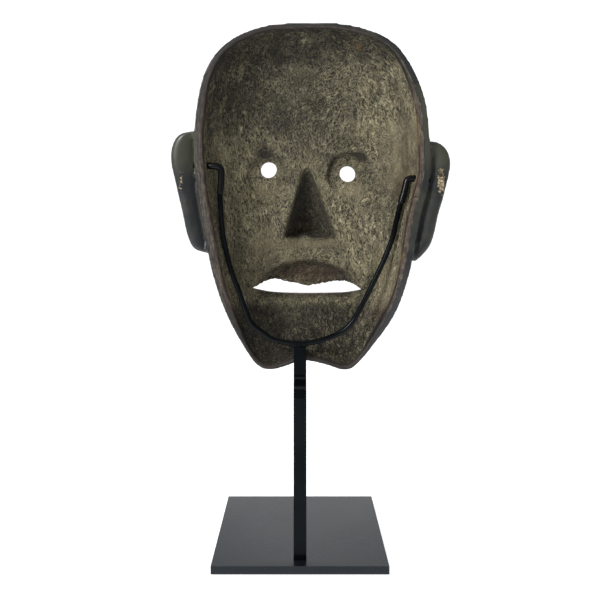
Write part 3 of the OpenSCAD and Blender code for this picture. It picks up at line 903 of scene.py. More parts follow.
def carved_relief_tree() -> bpy.types.NodeTree:
    """Geometry nodes that roughen the hollow: gouge marks and crust along each normal.

    Returns:
        The node group, with named inputs for its sizes and its seed.
    """
    tree = bpy.data.node_groups.new("carved_relief", "GeometryNodeTree")
    face = tree.interface
    face.new_socket("Geometry", in_out="INPUT", socket_type="NodeSocketGeometry")
    for name, value in (("Gouge Width", 0.009), ("Gouge Depth", 0.0005), ("Crust Size", 0.0026),
                        ("Crust Depth", 0.0005), ("Ripple Depth", 0.0002), ("Seed", float(SEED))):
        socket = face.new_socket(name, in_out="INPUT", socket_type="NodeSocketFloat")
        socket.default_value = value
    face.new_socket("Material", in_out="INPUT", socket_type="NodeSocketMaterial")
    face.new_socket("Geometry", in_out="OUTPUT", socket_type="NodeSocketGeometry")
    add, link = tree.nodes.new, tree.links.new
    given, result = add("NodeGroupInput"), add("NodeGroupOutput")

    def maths(operation: str, a, b) -> bpy.types.NodeSocket:
        """One arithmetic step."""
        node = add("ShaderNodeMath")
        node.operation = operation
        for socket, value in zip(node.inputs, (a, b)):
            if isinstance(value, bpy.types.NodeSocket):
                link(value, socket)
            else:
                socket.default_value = value
        return node.outputs[0]

    def centred_noise(size: bpy.types.NodeSocket, stretch: tuple, detail: float):
        """Noise from -1 to 1 whose waves are size metres long, stretched along each axis."""
        place = add("GeometryNodeInputPosition").outputs[0]
        scaled = add("ShaderNodeVectorMath")
        scaled.operation = "MULTIPLY"
        link(place, scaled.inputs[0])
        scaled.inputs[1].default_value = stretch
        node = add("ShaderNodeTexNoise")
        node.noise_dimensions = "4D"
        link(scaled.outputs[0], node.inputs["Vector"])
        link(given.outputs["Seed"], node.inputs["W"])
        link(maths("DIVIDE", 1.0, size), node.inputs["Scale"])
        node.inputs["Detail"].default_value = detail
        return maths("MULTIPLY", maths("SUBTRACT", node.outputs["Fac"], 0.5), 2.0)

    def weight(name: str) -> bpy.types.NodeSocket:
        """A vertex attribute as a number."""
        node = add("GeometryNodeInputNamedAttribute")
        node.data_type = "FLOAT"
        node.inputs["Name"].default_value = name
        return node.outputs["Attribute"]

    gouges = centred_noise(given.outputs["Gouge Width"], (1.0, 1.0, 0.28), 1.0)
    gouges = maths("MULTIPLY", maths("ABSOLUTE", gouges, 0.0), given.outputs["Gouge Depth"])
    crust = centred_noise(given.outputs["Crust Size"], (1.0, 1.0, 0.7), 2.0)
    crust = maths("MULTIPLY", crust, given.outputs["Crust Depth"])
    inside = maths("MULTIPLY", maths("ADD", gouges, crust), weight("hollow"))
    ripple = centred_noise(given.outputs["Gouge Width"], (1.0, 1.0, 0.7), 1.0)
    ripple = maths("MULTIPLY", ripple, given.outputs["Ripple Depth"])
    height = maths("ADD", inside, ripple)

    offset = add("ShaderNodeVectorMath")
    offset.operation = "SCALE"
    link(add("GeometryNodeInputNormal").outputs[0], offset.inputs[0])
    link(height, offset.inputs["Scale"])
    move = add("GeometryNodeSetPosition")
    link(given.outputs["Geometry"], move.inputs["Geometry"])
    link(offset.outputs[0], move.inputs["Offset"])
    real = add("GeometryNodeRealizeInstances")
    link(move.outputs[0], real.inputs[0])
    material = add("GeometryNodeSetMaterial")
    link(real.outputs[0], material.inputs["Geometry"])
    link(given.outputs["Material"], material.inputs["Material"])
    link(material.outputs[0], result.inputs[0])
    return tree


def use_tree(obj: bpy.types.Object, tree: bpy.types.NodeTree, values: dict) -> None:
    """Put a node group on an object and set its inputs by their identifiers.

    Args:
        obj: The object.
        tree: The node group.
        values: Input names and their values.
    """
    modifier = obj.modifiers.new(tree.name, "NODES")
    modifier.node_group = tree
    for item in tree.interface.items_tree:
        if item.in_out == "INPUT" and item.name in values:
            modifier[item.identifier] = values[item.name]


@dataclass
class CarvedMask:
    """The mask: one carved block with its ears, holes and finishes."""

    form: MaskForm = field(default_factory=MaskForm)
    edge_steps: int = 9
    face_rings: int = 84
    hollow_rings: int = 64
    voxel: float = 0.00137
    tie_r: float = 2.58
    tie_lead: float = 6.0
    tie_reach: tuple = (17.5, 13.5)
    ears: tuple = (
        EarForm(1, [[78, -41.5], [87.6, -38], [92.6, -28], [96.6, -10], [101, 10], [104.6, 27],
                    [103.5, 39], [98, 47.5], [88, 50]]),
        EarForm(-1, [[-79, -48], [-88, -38.5], [-92.5, -28], [-96, -12], [-100, 2], [-104.5, 23],
                     [-102.5, 35], [-95, 41.5], [-86, 42]]))
    mouth_top: tuple = ((46.5, -72), (38, -67), (30, -64.6), (17, -66.6), (3, -69.4), (-12, -67.6),
                        (-26, -66.0), (-34, -67.8), (-42, -73.2))
    mouth_bottom: tuple = ((-42, -73.2), (-25, -75.9), (5, -76.6), (30, -75.4), (46.5, -72))
    mouth_tilt: float = math.radians(2.8)

    def shell(self) -> bpy.types.Object:
        """The closed shell: face, rim and hollow as one skin of rings."""
        f = self.form
        edge = curve_through(f.rim, self.edge_steps, closed=True)
        n = len(edge)
        face_s = np.sin(math.pi / 2 * np.arange(1, self.face_rings + 1) / self.face_rings)
        hollow_s = np.sin(math.pi / 2 * np.arange(1, self.hollow_rings + 1) / self.hollow_rings)
        band = f.rim_band(edge[:, 0], edge[:, 1])
        rings = [f.face_ring(edge, s) for s in face_s]
        rings += [f.rim_ring(edge, 0.9), f.rim_ring(edge, band - 0.8)]
        rings += [f.hollow_ring(edge, s) for s in hollow_s[::-1]]
        zero = np.zeros(1)
        poles = np.array([
            [0, f.face_depth + float(f.face_relief(zero, zero)[0]), 0],
            [0, f.hollow_depth + float(f.hollow_relief(zero, zero)[0]), 0]])
        pts = f.to_frame(np.concatenate([*rings, poles]))
        m = len(rings)
        faces = [(i * n + j, i * n + (j + 1) % n, (i + 1) * n + (j + 1) % n, (i + 1) * n + j)
                 for i in range(m - 1) for j in range(n)]
        faces += [(m * n, (j + 1) % n, j) for j in range(n)]
        last = (m - 1) * n
        faces += [(m * n + 1, last + j, last + (j + 1) % n) for j in range(n)]
        shell = mesh_object("mask_body", pts, faces)
        turn_outwards(shell)
        return shell

    def eye_cutter(self, at: tuple) -> bpy.types.Object:
        """A straight round plug for an eye hole."""
        f = self.form
        sides = 72
        x, z = f.middle[0] + at[0], f.middle[1] + at[1]
        ring = [(x + f.eye_r * math.cos(a), z + f.eye_r * math.sin(a))
                for a in np.linspace(0, 2 * math.pi, sides, endpoint=False)]
        return self.prism("eye_cutter", ring, f.rim_y - 20, f.rim_y - 2 * f.face_depth)

    def prism(self, name: str, outline: list, y0: float, y1: float,
              drop: float = 0.0) -> bpy.types.Object:
        """A closed prism along Y with an outline (x, z) in millimetres.

        Args:
            name: The object's name.
            outline: The outline's points.
            y0: Where it starts.
            y1: Where it ends.
            drop: How far its end lies below its start.

        Returns:
            The prism's object.
        """
        n = len(outline)
        pts = [(x, y0, z) for x, z in outline] + [(x, y1, z - drop) for x, z in outline]
        faces = [tuple(range(n)), tuple(range(2 * n - 1, n - 1, -1))]
        faces += [(j, j + n, (j + 1) % n + n, (j + 1) % n) for j in range(n)]
        prism = mesh_object(name, np.array(pts) * MM, faces)
        turn_outwards(prism)
        return prism

    def mouth_cutter(self) -> bpy.types.Object:
        """A plug for the mouth slot, with small knife steps along its upper edge."""
        f = self.form
        top = curve_through(list(self.mouth_top), 8)
        rng = np.random.default_rng(SEED)
        top[1:-1, 1] += rng.uniform(-0.55, 0.55, len(top) - 2)
        bottom = curve_through(list(self.mouth_bottom), 8)[1:-1]
        outline = np.concatenate([top, bottom]) + np.array(f.middle)
        y0, y1 = 20.0, -60.0
        tilt = math.tan(self.mouth_tilt)
        outline[:, 1] += y0 * tilt
        return self.prism("mouth_cutter", [tuple(p) for p in outline], y0, y1, (y0 - y1) * tilt)

    def tie_cutter(self, cradle: "Cradle", side: int) -> bpy.types.Object:
        """A plug for a tie hole, on the axis of the cradle's pins."""
        start, along = cradle.tie_start(side), cradle.tie_along(side)
        reach = self.tie_reach[0 if side > 0 else 1]
        bm = bmesh.new()
        bmesh.ops.create_cone(bm, cap_ends=True, segments=40, radius1=self.tie_r * MM,
                              radius2=self.tie_r * MM, depth=(self.tie_lead + reach) * MM)
        mesh = bpy.data.meshes.new("tie_cutter")
        bm.to_mesh(mesh)
        bm.free()
        cutter = add_object("tie_cutter", mesh)
        turn = Vector((0, 0, 1)).rotation_difference(along).to_matrix().to_4x4()
        turn.translation = start + along * (reach - self.tie_lead) / 2 * MM
        mesh.transform(turn)
        return cutter

    def cut(self, body: bpy.types.Object, cutters: list) -> None:
        """Take the cutters out of the body and remove them."""
        for cutter in cutters:
            modifier = body.modifiers.new("cut", "BOOLEAN")
            modifier.operation = "DIFFERENCE"
            modifier.solver = "EXACT"
            modifier.object = cutter
        finish_modifiers(body)
        for cutter in cutters:
            bpy.data.objects.remove(cutter)

    def join_ears(self, body: bpy.types.Object) -> None:
        """Grow the ears out of the shell and give the whole an even skin."""
        bm = bmesh.new()
        bm.from_mesh(body.data)
        for ear in self.ears:
            leaf = ear.mesh("ear", self.form.middle)
            bm.from_mesh(leaf.data)
            bpy.data.objects.remove(leaf)
        bm.to_mesh(body.data)
        bm.free()
        skin = body.modifiers.new("even_skin", "REMESH")
        skin.mode = "VOXEL"
        skin.voxel_size = self.voxel
        soft = body.modifiers.new("soften", "SMOOTH")
        soft.factor = 0.5
        soft.iterations = 1
        finish_modifiers(body)

    def mark(self, body: bpy.types.Object) -> None:
        """Store where each finish lies, for the material and the relief."""
        f = self.form
        co = points_of(body)
        u, w, v = f.from_frame(co)
        inset = f.edge_inset(u, v)
        band = f.rim_band(u, v)
        step = f.rim_step(v)
        normals = np.empty(len(co) * 3)
        body.data.vertices.foreach_get("normal", normals)
        facing_back, facing_up = normals.reshape(-1, 3)[:, 1:].T
        pit = f.hollow_relief(u, v)
        inward = f.inward(np.stack([u, w, v], 1))
        hollow = smooth((inset - band + 0.6) / 1.2) * smooth(0.5 + inward / 5)
        store(body, "hollow", np.clip(hollow, 0, 1))
        outer = 1.0 + 0.38 * band * smooth((-u - 30) / 30)
        flat = smooth((step + 2.2 - w) / 1.4) * smooth((inset - outer) / 1.0) \
            * smooth((band + 0.3 - inset) / 0.9)
        store(body, "rim", flat)
        lip = np.exp(-(((inset - band - 0.3) / 1.0) ** 2)) * smooth((step + 5 - w) / 3)
        low = smooth((-88 - v) / 14)
        store(body, "lip_line", lip * smooth((70 - v) / 60 + 0.5) * (1 - 0.75 * low))
        worn_side = smooth((-u - 40) / 20) * smooth((75 - v) / 20) * smooth((v + 60) / 25)
        worn_low = 0.6 * smooth((u - 45) / 12) * smooth((-60 - v) / 16) * smooth((v + 112) / 16)
        spot = 1.2 * bump(u, v, (-36, 113), (2.6, 2.6)) * hollow
        store(body, "lip_wear", np.exp(-(((inset - band - 0.4) / 1.1) ** 2))
              * (worn_side + worn_low) * smooth((step + 5 - w) / 3) + spot)
        _, paint = f.lips(u, v)
        outside = smooth((w - f.hollow_depth - pit - 3.5) / 2)
        # paint share raised where the lower lip's ledge faces up, for the painted highlight there
        sill = 1.0 + 0.5 * smooth((facing_up - 0.5) / 0.3) * smooth((-73 - v) / 1.5)
        store(body, "lip_paint", paint * outside * smooth((-facing_back + 0.7) / 0.3) * sill)
        high = (bump(u, v, (f.face_line, -20), (10, 14)) + bump(u, v, (f.face_line, -112), (22, 10))
                + bump(u, v, (34, 47), (18, 5)) + bump(u, v, (-30, 47), (18, 5))
                + 0.7 * smooth((2.5 - inset) / 2.5) * smooth((w - step) / 2) * smooth((inset + 2) / 2)
                * (1 - 0.8 * low))
        ear_edge = smooth((np.abs(u) - 92) / 10) * smooth((w - 8) / 6)
        store(body, "wear", np.clip(0.7 * high + 0.1 * ear_edge, 0, 1) * (1 - hollow))
        store(body, "olive", smooth((np.abs(u) - 80) / 5) * smooth((v - 12) / 22))
        back = smooth((facing_back + 0.2) / 0.3)
        right = bump(u, v, (-97.5, 11), (5, 15)) * smooth((-u - 92) / 3)
        left = bump(u, v, (97, 12), (2.2, 16)) * smooth((u - 92) / 4)
        root = 0.62 * bump(u, v, (84, 15), (3, 8)) * smooth((u - 80) / 2)
        specks = bump(u, v, (-49.8, 65), (1.7, 1.9)) + bump(u, v, (-38.6, -12.5), (2.0, 2.0))
        store(body, "chip", np.clip((0.84 * right + 0.66 * left + root) * back
                                    + 0.8 * specks * hollow, 0, 1))
        self.mark_hollow(body, u, v, inset - band)
        angle = np.arctan2(v, u)
        store(body, "inset", inset * MM)
        store(body, "along", angle * 0.1)
        LOG.info("mask skin: %d points, %.0f %% of them in the hollow", len(co), 100 * hollow.mean())

    @staticmethod
    def step_shade(u: np.ndarray, v: np.ndarray) -> np.ndarray:
        """Painted shade in the step of each eye recess.

        Args:
            u: Places across the face.
            v: Places up the face.

        Returns:
            The painted shade's share.
        """
        left = np.exp(-(((np.hypot(u - 33.5, v - 17.5) - 17.5) / 1.8) ** 2))
        right = np.exp(-(((np.hypot(u + 32, v - 19.5) - 17.5) / 1.8) ** 2))
        return (0.5 * left * smooth((v - 17.5) / 14)
                + right * smooth((0.6 * (u + 32) + 0.8 * (v - 19.5) + 6) / 12))

    @staticmethod
    def wall_light_and_groove_shade(u: np.ndarray, v: np.ndarray) -> np.ndarray:
        """Painted light on a pale strip down the lower right wall and painted shade in a dark groove
        beside it.

        Args:
            u: Places across the face.
            v: Places up the face.

        Returns:
            What the painted light and the painted shade add to the brightness.
        """
        beside = 0.919 * (u + 62) + 0.394 * (v + 54)
        ends = smooth((-46 - v) / 12) * smooth((v + 114) / 14)
        # painted light on the strip that faces the key light, painted shade in the groove beside it
        pale = 0.5 * np.exp(-((beside / 5) ** 2))
        groove = 0.4 * np.exp(-(((beside - 10) / 3.2) ** 2))
        return (pale - groove) * ends

    def mark_hollow(self, body: bpy.types.Object, u: np.ndarray, v: np.ndarray,
                    inside: np.ndarray) -> None:
        """Store the hollow's darker patches and painted shade, pale patches and painted light, stains,
        tool marks and brightness.

        Args:
            body: The mask.
            u: Places across the face.
            v: Places up the face.
            inside: Distance inwards from the rim's inner edge.
        """
        f = self.form
        # darker patches, partly a darker ground and partly painted shade: in the nose and lip pits,
        # along the left inner wall away from the key light, under the top of the rim, high on the right
        # temple's wall and at the edge of the right eye recess
        dark_patch_and_shade = (0.75 * smooth((v - 92) / 26) + 0.75 * smooth((u - 2) / 50) * smooth((v - 34) / 45)
                + 0.8 * bump(u, v, (2, 72), (36, 34)) + 0.4 * bump(u, v, (-62, 90), (12, 20))
                + 0.85 * smooth((-79 - v) / 10) + 0.5 * smooth((-98 - v) / 10)
                + 0.5 * bump(u, v, (-20, 30), (4, 12)) + 0.35 * bump(u, v, (30, -6), (12, 5))
                + 0.8 * smooth(f.nose_pit(u, v) / 7)
                + 0.6 * smooth(f.lip_pit(u, v) / 5)
                + 0.4 * smooth((14 - inside) / 8) * smooth((u - 20) / 30))
        store(body, "dark_patch_and_shade", np.clip(dark_patch_and_shade, 0, 1))
        # pale patches on the cheeks, round the eyes, mid forehead and at the nose pit's foot, and
        # painted light down the right inner wall (negative u), which faces the key light
        pale_and_lit = (0.85 * bump(u, v, (-34, 8), (15, 8)) + 0.75 * bump(u, v, (34, 7), (16, 8))
                + 0.9 * bump(u, v, (2, -36), (22, 4)) + 0.4 * bump(u, v, (0, 34), (9, 16))
                + 0.75 * smooth((-u - 44) / 22) * smooth((74 - v) / 20) * smooth((v + 8) / 20)
                + 0.55 * bump(u, v, (36, -38), (18, 22)) + 0.35 * bump(u, v, (-40, -30), (20, 16))
                + 0.6 * smooth((-u - 44) / 12) * smooth((-25 - v) / 30))
        store(body, "pale_and_lit", np.clip(pale_and_lit, 0, 1))
        stain = (0.9 * bump(u, v, (-8, -60), (16, 7)) + 0.6 * bump(u, v, (14, -60), (18, 7))
                 + 0.7 * bump(u, v, (-70, 10), (4, 10)) + 0.5 * bump(u, v, (-52, -86), (6, 12)))
        store(body, "stain", np.clip(stain, 0, 1))
        store(body, "wall", smooth((24 - inside) / 12))
        # brightness, partly random variation and partly painted light and shade: lighter about the right
        # eye and up the right wall where the key light falls, darker at the top under the rim, on the
        # upper left, low on the left and at the chin, plus the painted strip and groove
        light_and_tone = (1 - 0.5 * bump(u, v, (33, -108), (22, 16)) - 0.22 * smooth((-79 - v) / 8)
                + 0.3 * bump(u, v, (-28, -115), (14, 12)) + 0.25 * bump(u, v, (43, -20), (18, 24))
                + 0.22 * bump(u, v, (-42, -30), (22, 26)) + 0.25 * bump(u, v, (-58, 62), (18, 34))
                + 0.5 * bump(u, v, (-31, 6), (12, 7)) + 0.15 * bump(u, v, (34, 5), (12, 7))
                - 0.2 * smooth((v - 96) / 12) - 0.15 * bump(u, v, (48, 85), (22, 26))
                + self.wall_light_and_groove_shade(u, v))
        store(body, "light_and_tone", np.clip(light_and_tone, 0.4, 1.5))
        # painted shade in the scoops above the eyes, along the inner edges of the eye recesses, in the
        # nose pit and in the step of each eye recess
        recess_shade = (1.2 * bump(u, v, (35.5, 36), (7, 4.2)) + 1.2 * bump(u, v, (-41, 34), (6.5, 4.2))
                + 0.45 * bump(u, v, (-16, 30), (3, 10)) + 0.3 * bump(u, v, (22, 30), (3, 9))
                + 0.8 * smooth(f.nose_pit(u, v) / 8) * (0.5 + 0.5 * smooth((u + 6) / 12))
                * (1 - 0.6 * smooth((-17 - v) / 6))
                + 0.5 * self.step_shade(u, v))
        store(body, "recess_shade", np.clip(recess_shade, 0, 1))

    def build(self, cradle: "Cradle") -> bpy.types.Object:
        """Make the mask and hand it to the frame.

        Args:
            cradle: The rod cradle, whose pins the tie holes fit.

        Returns:
            The mask's object.
        """
        body = self.shell()
        self.join_ears(body)
        self.cut(body, [self.eye_cutter(at) for at in self.form.eyes] + [self.mouth_cutter()]
                 + [self.tie_cutter(cradle, side) for side in (1, -1)])
        self.mark(body)
        material = AgedMask().make()
        use_tree(body, carved_relief_tree(), {"Material": material, "Seed": float(SEED)})
        finish_modifiers(body)
        low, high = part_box("mask")
        set_points(body, np.clip(points_of(body), np.array(low), np.array(high)))
        shade_smooth(body, 58)
        dress(body, material)
        return settle(body, Body.MASK, Slot.WOOD, "mask")


# ---------------------------------------------------------------- the stand


def rod_tree() -> bpy.types.NodeTree:
    """Geometry nodes that sweep a round rod along a curve and close its ends."""
    tree = bpy.data.node_groups.new("round_rod", "GeometryNodeTree")
    face = tree.interface
    face.new_socket("Geometry", in_out="INPUT", socket_type="NodeSocketGeometry")
    radius = face.new_socket("Radius", in_out="INPUT", socket_type="NodeSocketFloat")
    radius.default_value = 0.002
    sides = face.new_socket("Sides", in_out="INPUT", socket_type="NodeSocketInt")
    sides.default_value = 24
    face.new_socket("Material", in_out="INPUT", socket_type="NodeSocketMaterial")
    face.new_socket("Geometry", in_out="OUTPUT", socket_type="NodeSocketGeometry")
    add, link = tree.nodes.new, tree.links.new
    given, result = add("NodeGroupInput"), add("NodeGroupOutput")
    line = add("GeometryNodeMeshToCurve")
    link(given.outputs["Geometry"], line.inputs["Mesh"])
    circle = add("GeometryNodeCurvePrimitiveCircle")
    link(given.outputs["Radius"], circle.inputs["Radius"])
    link(given.outputs["Sides"], circle.inputs["Resolution"])
    sweep = add("GeometryNodeCurveToMesh")
    link(line.outputs["Curve"], sweep.inputs["Curve"])
    link(circle.outputs["Curve"], sweep.inputs["Profile Curve"])
    sweep.inputs["Fill Caps"].default_value = True
    real = add("GeometryNodeRealizeInstances")
    link(sweep.outputs["Mesh"], real.inputs[0])
    material = add("GeometryNodeSetMaterial")
    link(real.outputs[0], material.inputs["Geometry"])
    link(given.outputs["Material"], material.inputs["Material"])
    link(material.outputs[0], result.inputs[0])
    return tree


@dataclass
class Cradle:
    """The bent rod that carries the mask, its sleeves and the braze at the bar."""

    y: float = 39.0
    rod_r: float = 2.0
    sleeve_r: float = 2.5
    pin_length: float = 11.0
    post_top: float = 163.0
    post_width: float = 9.5
    elbow_r: float = 4.0
    left_arm: tuple = ((59.2, 288), (60.1, 278), (59.5, 263), (58.2, 249), (55.8, 235.5),
                       (51.5, 219), (46, 204.5), (41, 190), (36.8, 180.5), (30, 174.5),
                       (21, 168.5), (12.5, 166))
    right_arm: tuple = ((-78.2, 279), (-75.8, 271), (-73.3, 261), (-69.5, 244.5), (-62.5, 226.5),
                        (-54, 208.5), (-45, 190.5), (-38.5, 180), (-30, 173), (-18, 168),
                        (-8, 165.6))
    ties: tuple = ((62.8, 298.6), (-84.0, 289.6))
    turns: tuple = (85, 75)

    @property
    def tilt(self) -> float:
        """Slope of the line through the two pins, in radians."""
        (lx, lz), (rx, rz) = self.ties
        return math.atan2(lz - rz, lx - rx)

    def tie_start(self, side: int) -> Vector:
        """Where a pin starts, in metres; side is 1 or -1."""
        x, z = self.ties[0 if side > 0 else 1]
        return Vector((x, self.y, z)) * MM

    def tie_along(self, side: int) -> Vector:
        """The way that a pin points."""
        return Vector((math.cos(self.tilt), 0, math.sin(self.tilt))) * side

    def end(self, side: int, step: float = 7.5) -> list:
        """Points (x, z) from a pin's tip round its elbow, in millimetres."""
        tie = np.array(self.ties[0 if side > 0 else 1], float)
        heading = self.tilt + (math.pi if side > 0 else 0)
        middle = tie + self.elbow_r * side * np.array([-math.sin(heading), math.cos(heading)])
        tip = tie - self.pin_length * np.array([math.cos(heading), math.sin(heading)])
        turn = self.turns[0 if side > 0 else 1]
        angles = heading + side * (np.radians(np.arange(0, turn + 0.1, step)) - math.pi / 2)
        return [tip] + [middle + self.elbow_r * np.array([math.cos(a), math.sin(a)]) for a in angles]

    def path(self) -> np.ndarray:
        """The rod's middle line from the left pin's tip to the right pin's tip, in metres."""
        join = (2.0, self.post_top + self.rod_r + 0.05)
        arms = curve_through([*self.left_arm, join, *self.right_arm[::-1]], 8)
        line = np.array([*self.end(1), *arms, *self.end(-1)[::-1]])
        return np.stack([line[:, 0], np.full(len(line), self.y), line[:, 1]], 1) * MM

    def rod(self, material: bpy.types.Material) -> bpy.types.Object:
        """The bent rod with its braze."""
        pts = self.path()
        mesh = bpy.data.meshes.new("cradle_rod")
        mesh.from_pydata([tuple(p) for p in pts], [(i, i + 1) for i in range(len(pts) - 1)], [])
        rod = add_object("cradle_rod", mesh)
        use_tree(rod, rod_tree(), {"Radius": self.rod_r * MM, "Sides": 28, "Material": material})
        finish_modifiers(rod)
        turn_outwards(rod)
        self.braze(rod)
        shade_smooth(rod, 50)
        dress(rod, material)
        return settle(rod, Body.STAND, Slot.STAND_PAINT, "cradle_fork")

    def braze(self, rod: bpy.types.Object) -> None:
        """Add the lumps of braze that fill the corners between rod and bar."""
        rng = np.random.default_rng(SEED)
        spots = ((-3.6, 0.9, 2.5, 1.9), (3.6, 0.8, 2.7, 2.1), (0.3, 0.6, 3.2, 1.5), (5.2, 0.9, 1.9, 1.5))
        for x, up, wide, tall in spots:
            bm = bmesh.new()
            bmesh.ops.create_icosphere(bm, subdivisions=4, radius=1.0)
            for vert in bm.verts:
                wobble = 1 + 0.05 * math.sin(5 * vert.co.x + 3 * vert.co.z + rng.uniform(0, 0.2))
                z = max(vert.co.z * tall * wobble, -up + 0.02)
                vert.co = Vector((x + vert.co.x * wide * wobble, self.y + vert.co.y * 2.7 * wobble,
                                  self.post_top + up + z)) * MM
            mesh = bpy.data.meshes.new("braze")
            bm.to_mesh(mesh)
            bm.free()
            lump = add_object("braze", mesh)
            turn_outwards(lump)
            join = rod.modifiers.new("braze", "BOOLEAN")
            join.operation = "UNION"
            join.solver = "EXACT"
            join.object = lump
        finish_modifiers(rod)
        for lump in [o for o in bpy.data.objects if o.name.startswith("braze")]:
            bpy.data.objects.remove(lump)

    def sleeve(self, side: int, material: bpy.types.Material) -> bpy.types.Object:
        """Soft tubing over one pin, its elbow and the top of its arm."""
        arm = self.left_arm if side > 0 else self.right_arm
        line = np.array([*self.end(side), *curve_through(list(arm[:2]), 6)])
        pts = np.stack([line[:, 0], np.full(len(line), self.y), line[:, 1]], 1)
        name = "pin_sleeve_left" if side > 0 else "pin_sleeve_right"
        node = "sleeve_left" if side > 0 else "sleeve_right"
        tube = self.tube(name, pts, self.sleeve_r, self.rod_r + 0.03)
        shade_smooth(tube, 50)
        dress(tube, material)
        return settle(tube, Body.STAND, Slot.SLEEVE, node)

    @staticmethod
    def tube(name: str, pts: np.ndarray, outer: float, bore: float, sides: int = 32) -> bpy.types.Object:
        """A tube with rounded ends along points in a plane of constant y, in millimetres."""
        n = len(pts)
        along = np.gradient(pts, axis=0)
        along /= np.linalg.norm(along, axis=1)[:, None]
        across = np.stack([along[:, 2], np.zeros(n), -along[:, 0]], 1)
        a = np.linspace(0, 2 * math.pi, sides, endpoint=False)
        lip = 0.18
        rings = []
        for i, r in [(0, bore), (0, outer - lip)] + [(i, outer) for i in range(n)] \
                + [(n - 1, outer - lip), (n - 1, bore)]:
            shift = 0.0
            if r == outer and i == 0:
                shift = lip
            elif r == outer and i == n - 1:
                shift = -lip
            centre = pts[i] + along[i] * shift
            rings.append(centre + r * (np.cos(a)[:, None] * across[i]
                                       + np.sin(a)[:, None] * np.array([0, 1, 0])))
        rings += [pts[i] + bore * (np.cos(a)[:, None] * across[i]
                                   + np.sin(a)[:, None] * np.array([0, 1, 0]))
                  for i in range(n - 2, 0, -1)]
        m = len(rings)
        faces = [(i * sides + j, i * sides + (j + 1) % sides,
                  ((i + 1) % m) * sides + (j + 1) % sides, ((i + 1) % m) * sides + j)
                 for i in range(m) for j in range(sides)]
        tube = mesh_object(name, np.concatenate(rings) * MM, faces)
        turn_outwards(tube)
        return tube

    def build(self) -> None:
        """Make the rod and both sleeves."""
        self.rod(SatinPaint("rod_black_paint", (0.0012, 0.0016, 0.0022), 0.15, 0.12).make())
        material = ShrinkTubing().make()
        for side in (1, -1):
            self.sleeve(side, material)


@dataclass
class BarAndBase:
    """The flat bar, the square plate, its felt and the screw between them."""

    edge_radius: float = 0.0004
    plate_edge_radius: float = 0.0006
    felt_side: float = 0.126
    felt_cells: int = 90

    def softened_copy(self, node: str, name: str, radius: float) -> bpy.types.Object:
        """Copy a CAD node and round its sharp edges.

        Args:
            node: The CAD node.
            name: The new piece's name.
            radius: Radius of the rounded edges, in metres.

        Returns:
            The new piece, not yet handed to the frame.
        """
        copy = add_object(name, frame["nodes"][node].data.copy())
        bm = bmesh.new()
        bm.from_mesh(copy.data)
        bmesh.ops.remove_doubles(bm, verts=bm.verts, dist=MERGE_WITHIN)
        bmesh.ops.dissolve_limit(bm, angle_limit=math.radians(1), verts=bm.verts, edges=bm.edges)
        bm.to_mesh(copy.data)
        bm.free()
        bevel = copy.modifiers.new("edges", "BEVEL")
        bevel.width = radius
        bevel.segments = 3
        bevel.limit_method = "ANGLE"
        bevel.angle_limit = math.radians(40)
        shade_smooth(copy)
        even = copy.modifiers.new("even_normals", "WEIGHTED_NORMAL")
        even.weight = 100
        finish_modifiers(copy)
        low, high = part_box(node)
        set_points(copy, np.clip(points_of(copy), np.array(low), np.array(high)))
        return copy

    def felt(self) -> bpy.types.Object:
        """The felt sheet: a closed slab with a slightly uneven, fuzzy edge."""
        low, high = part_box("base_felt")
        n = self.felt_cells
        rng = np.random.default_rng(SEED)
        line = np.linspace(-1, 1, n + 1)
        grid_x, grid_y = np.meshgrid(line, line, indexing="ij")
        edge = (np.abs(grid_x) > 0.999) | (np.abs(grid_y) > 0.999)
        half = self.felt_side / 2
        inward = np.where(edge, 1 - rng.uniform(0, 0.0035, grid_x.shape), 1.0)
        x, y = grid_x * half * inward, grid_y * half * inward
        sag = rng.uniform(0, 0.00006, grid_x.shape)
        top = np.stack([x, y, np.full(x.shape, high.z)], 2).reshape(-1, 3)
        bottom = np.stack([x, y, low.z + np.where(edge, 0.00015, sag)], 2).reshape(-1, 3)
        k = (n + 1) ** 2
        at = lambda i, j: i * (n + 1) + j
        faces = [(at(i, j), at(i + 1, j), at(i + 1, j + 1), at(i, j + 1))
                 for i in range(n) for j in range(n)]
        faces += [tuple(k + p for p in face[::-1]) for face in faces]
        ring = [at(i, 0) for i in range(n)] + [at(n, j) for j in range(n)] \
            + [at(i, n) for i in range(n, 0, -1)] + [at(0, j) for j in range(n, 0, -1)]
        faces += [(ring[i], ring[i - 1], k + ring[i - 1], k + ring[i]) for i in range(len(ring))]
        felt = mesh_object("felt_sheet", np.concatenate([top, bottom]), faces)
        turn_outwards(felt)
        dress(felt, PressedFelt().make())
        settle(felt, Body.STAND, Slot.FELT, "base_felt")
        return felt

    def build(self) -> None:
        """Make the bar, the plate, the felt and dress the screw."""
        bar = self.softened_copy("post", "flat_bar", self.edge_radius)
        dress(bar, SatinPaint("bar_black_paint", (0.0010, 0.0018, 0.0024), 0.15, 0.08).make())
        settle(bar, Body.STAND, Slot.STAND_PAINT, "post")
        plate = self.softened_copy("base_plate", "base_plate_steel", self.plate_edge_radius)
        dress(plate, SatinPaint("plate_slate_paint", (0.0062, 0.0080, 0.0112), 0.24, 0.30).make())
        settle(plate, Body.STAND, Slot.BASE_PAINT, "base_plate")
        self.felt()
        screw = frame["nodes"]["post_screw"]
        dress(screw, ZincSteel().make())
        LOG.info("post_screw: CAD node with its own finish")


# ---------------------------------------------------------------- the studio


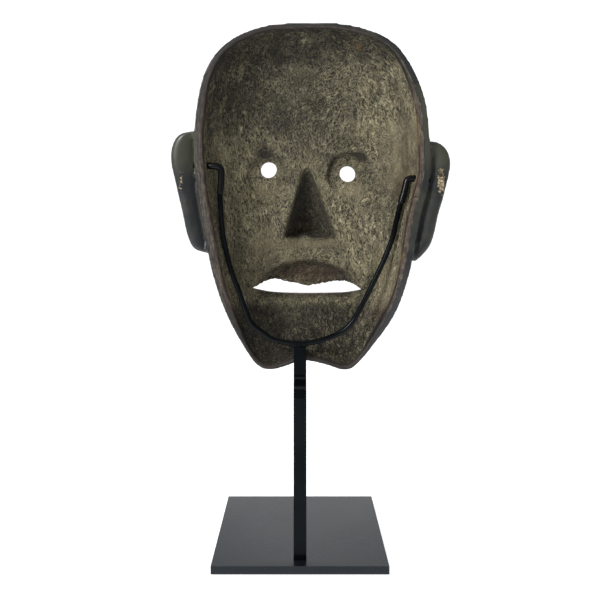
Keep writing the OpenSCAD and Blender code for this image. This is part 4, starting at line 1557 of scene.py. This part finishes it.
@dataclass
class Studio:
    """Camera, soft lights and seamless paper."""

    eye: tuple = (0.0, 0.572, 0.259)
    pitch: float = math.radians(1.69)
    lens: float = 42.48
    shift_y: float = -0.10

    def camera(self) -> None:
        """Place the camera behind the mask, as it is usually shown from."""
        data = bpy.data.cameras.new("camera")
        data.lens = self.lens
        data.sensor_width = 36.0
        data.shift_y = self.shift_y
        data.clip_start = 0.01
        cam = add_object("camera", data)
        cam.location = self.eye
        cam.rotation_euler = (math.pi / 2 - self.pitch, 0.0, math.pi)
        bpy.context.scene.camera = cam

    @staticmethod
    def light(name: str, at: tuple, aim: tuple, size: float, power: float) -> None:
        """Hang one square soft light.

        Args:
            name: Its name.
            at: Its place.
            aim: The point that it faces.
            size: Its side, in metres.
            power: Its power, in watts.
        """
        data = bpy.data.lights.new(name, "AREA")
        data.size = size
        data.energy = power
        lamp = add_object(name, data)
        lamp.location = at
        lamp.rotation_euler = (Vector(aim) - Vector(at)).to_track_quat("-Z", "Y").to_euler()

    def paper(self) -> None:
        """Lay the floor and curve it up far behind."""
        half, reach, bend = 4.0, 3.0, 1.2
        steps = 24
        profile = [(reach, 0.0), (-reach, 0.0)]
        profile += [(-reach - bend * math.sin(a), bend * (1 - math.cos(a)))
                    for a in np.linspace(0, math.pi / 2, steps)[1:]]
        profile.append((-reach - bend, 4.0))
        pts = [(x, y, z) for y, z in profile for x in (-half, half)]
        faces = [(2 * i, 2 * i + 1, 2 * i + 3, 2 * i + 2) for i in range(len(profile) - 1)]
        paper = mesh_object("paper_floor", np.array(pts), faces)
        shade_smooth(paper)
        dress(paper, PaleFloor().make())

    def build(self) -> None:
        """Set up the camera, the world, the paper and the lights."""
        self.camera()
        scene = bpy.context.scene
        scene.view_settings.view_transform = "Standard"
        world = bpy.data.worlds.new("studio")
        world.use_nodes = True
        sky = world.node_tree.nodes["Background"]
        sky.inputs["Color"].default_value = (1.0, 1.0, 1.0, 1.0)
        sky.inputs["Strength"].default_value = 0.36
        scene.world = world
        self.paper()
        self.light("key", (0.70, 0.90, 0.78), (0.0, 0.0, 0.27), 0.4, 11.0)
        self.light("top", (0.1, -0.25, 1.4), (0.0, 0.0, 0.2), 1.0, 8.0)


def main() -> None:
    """Build the studio and every piece in order."""
    logging.basicConfig(level=logging.INFO, format="%(name)s: %(message)s")
    Studio().build()
    cradle = Cradle()
    cradle.build()
    BarAndBase().build()
    CarvedMask().build(cradle)


if __name__ == "__main__":
    main()
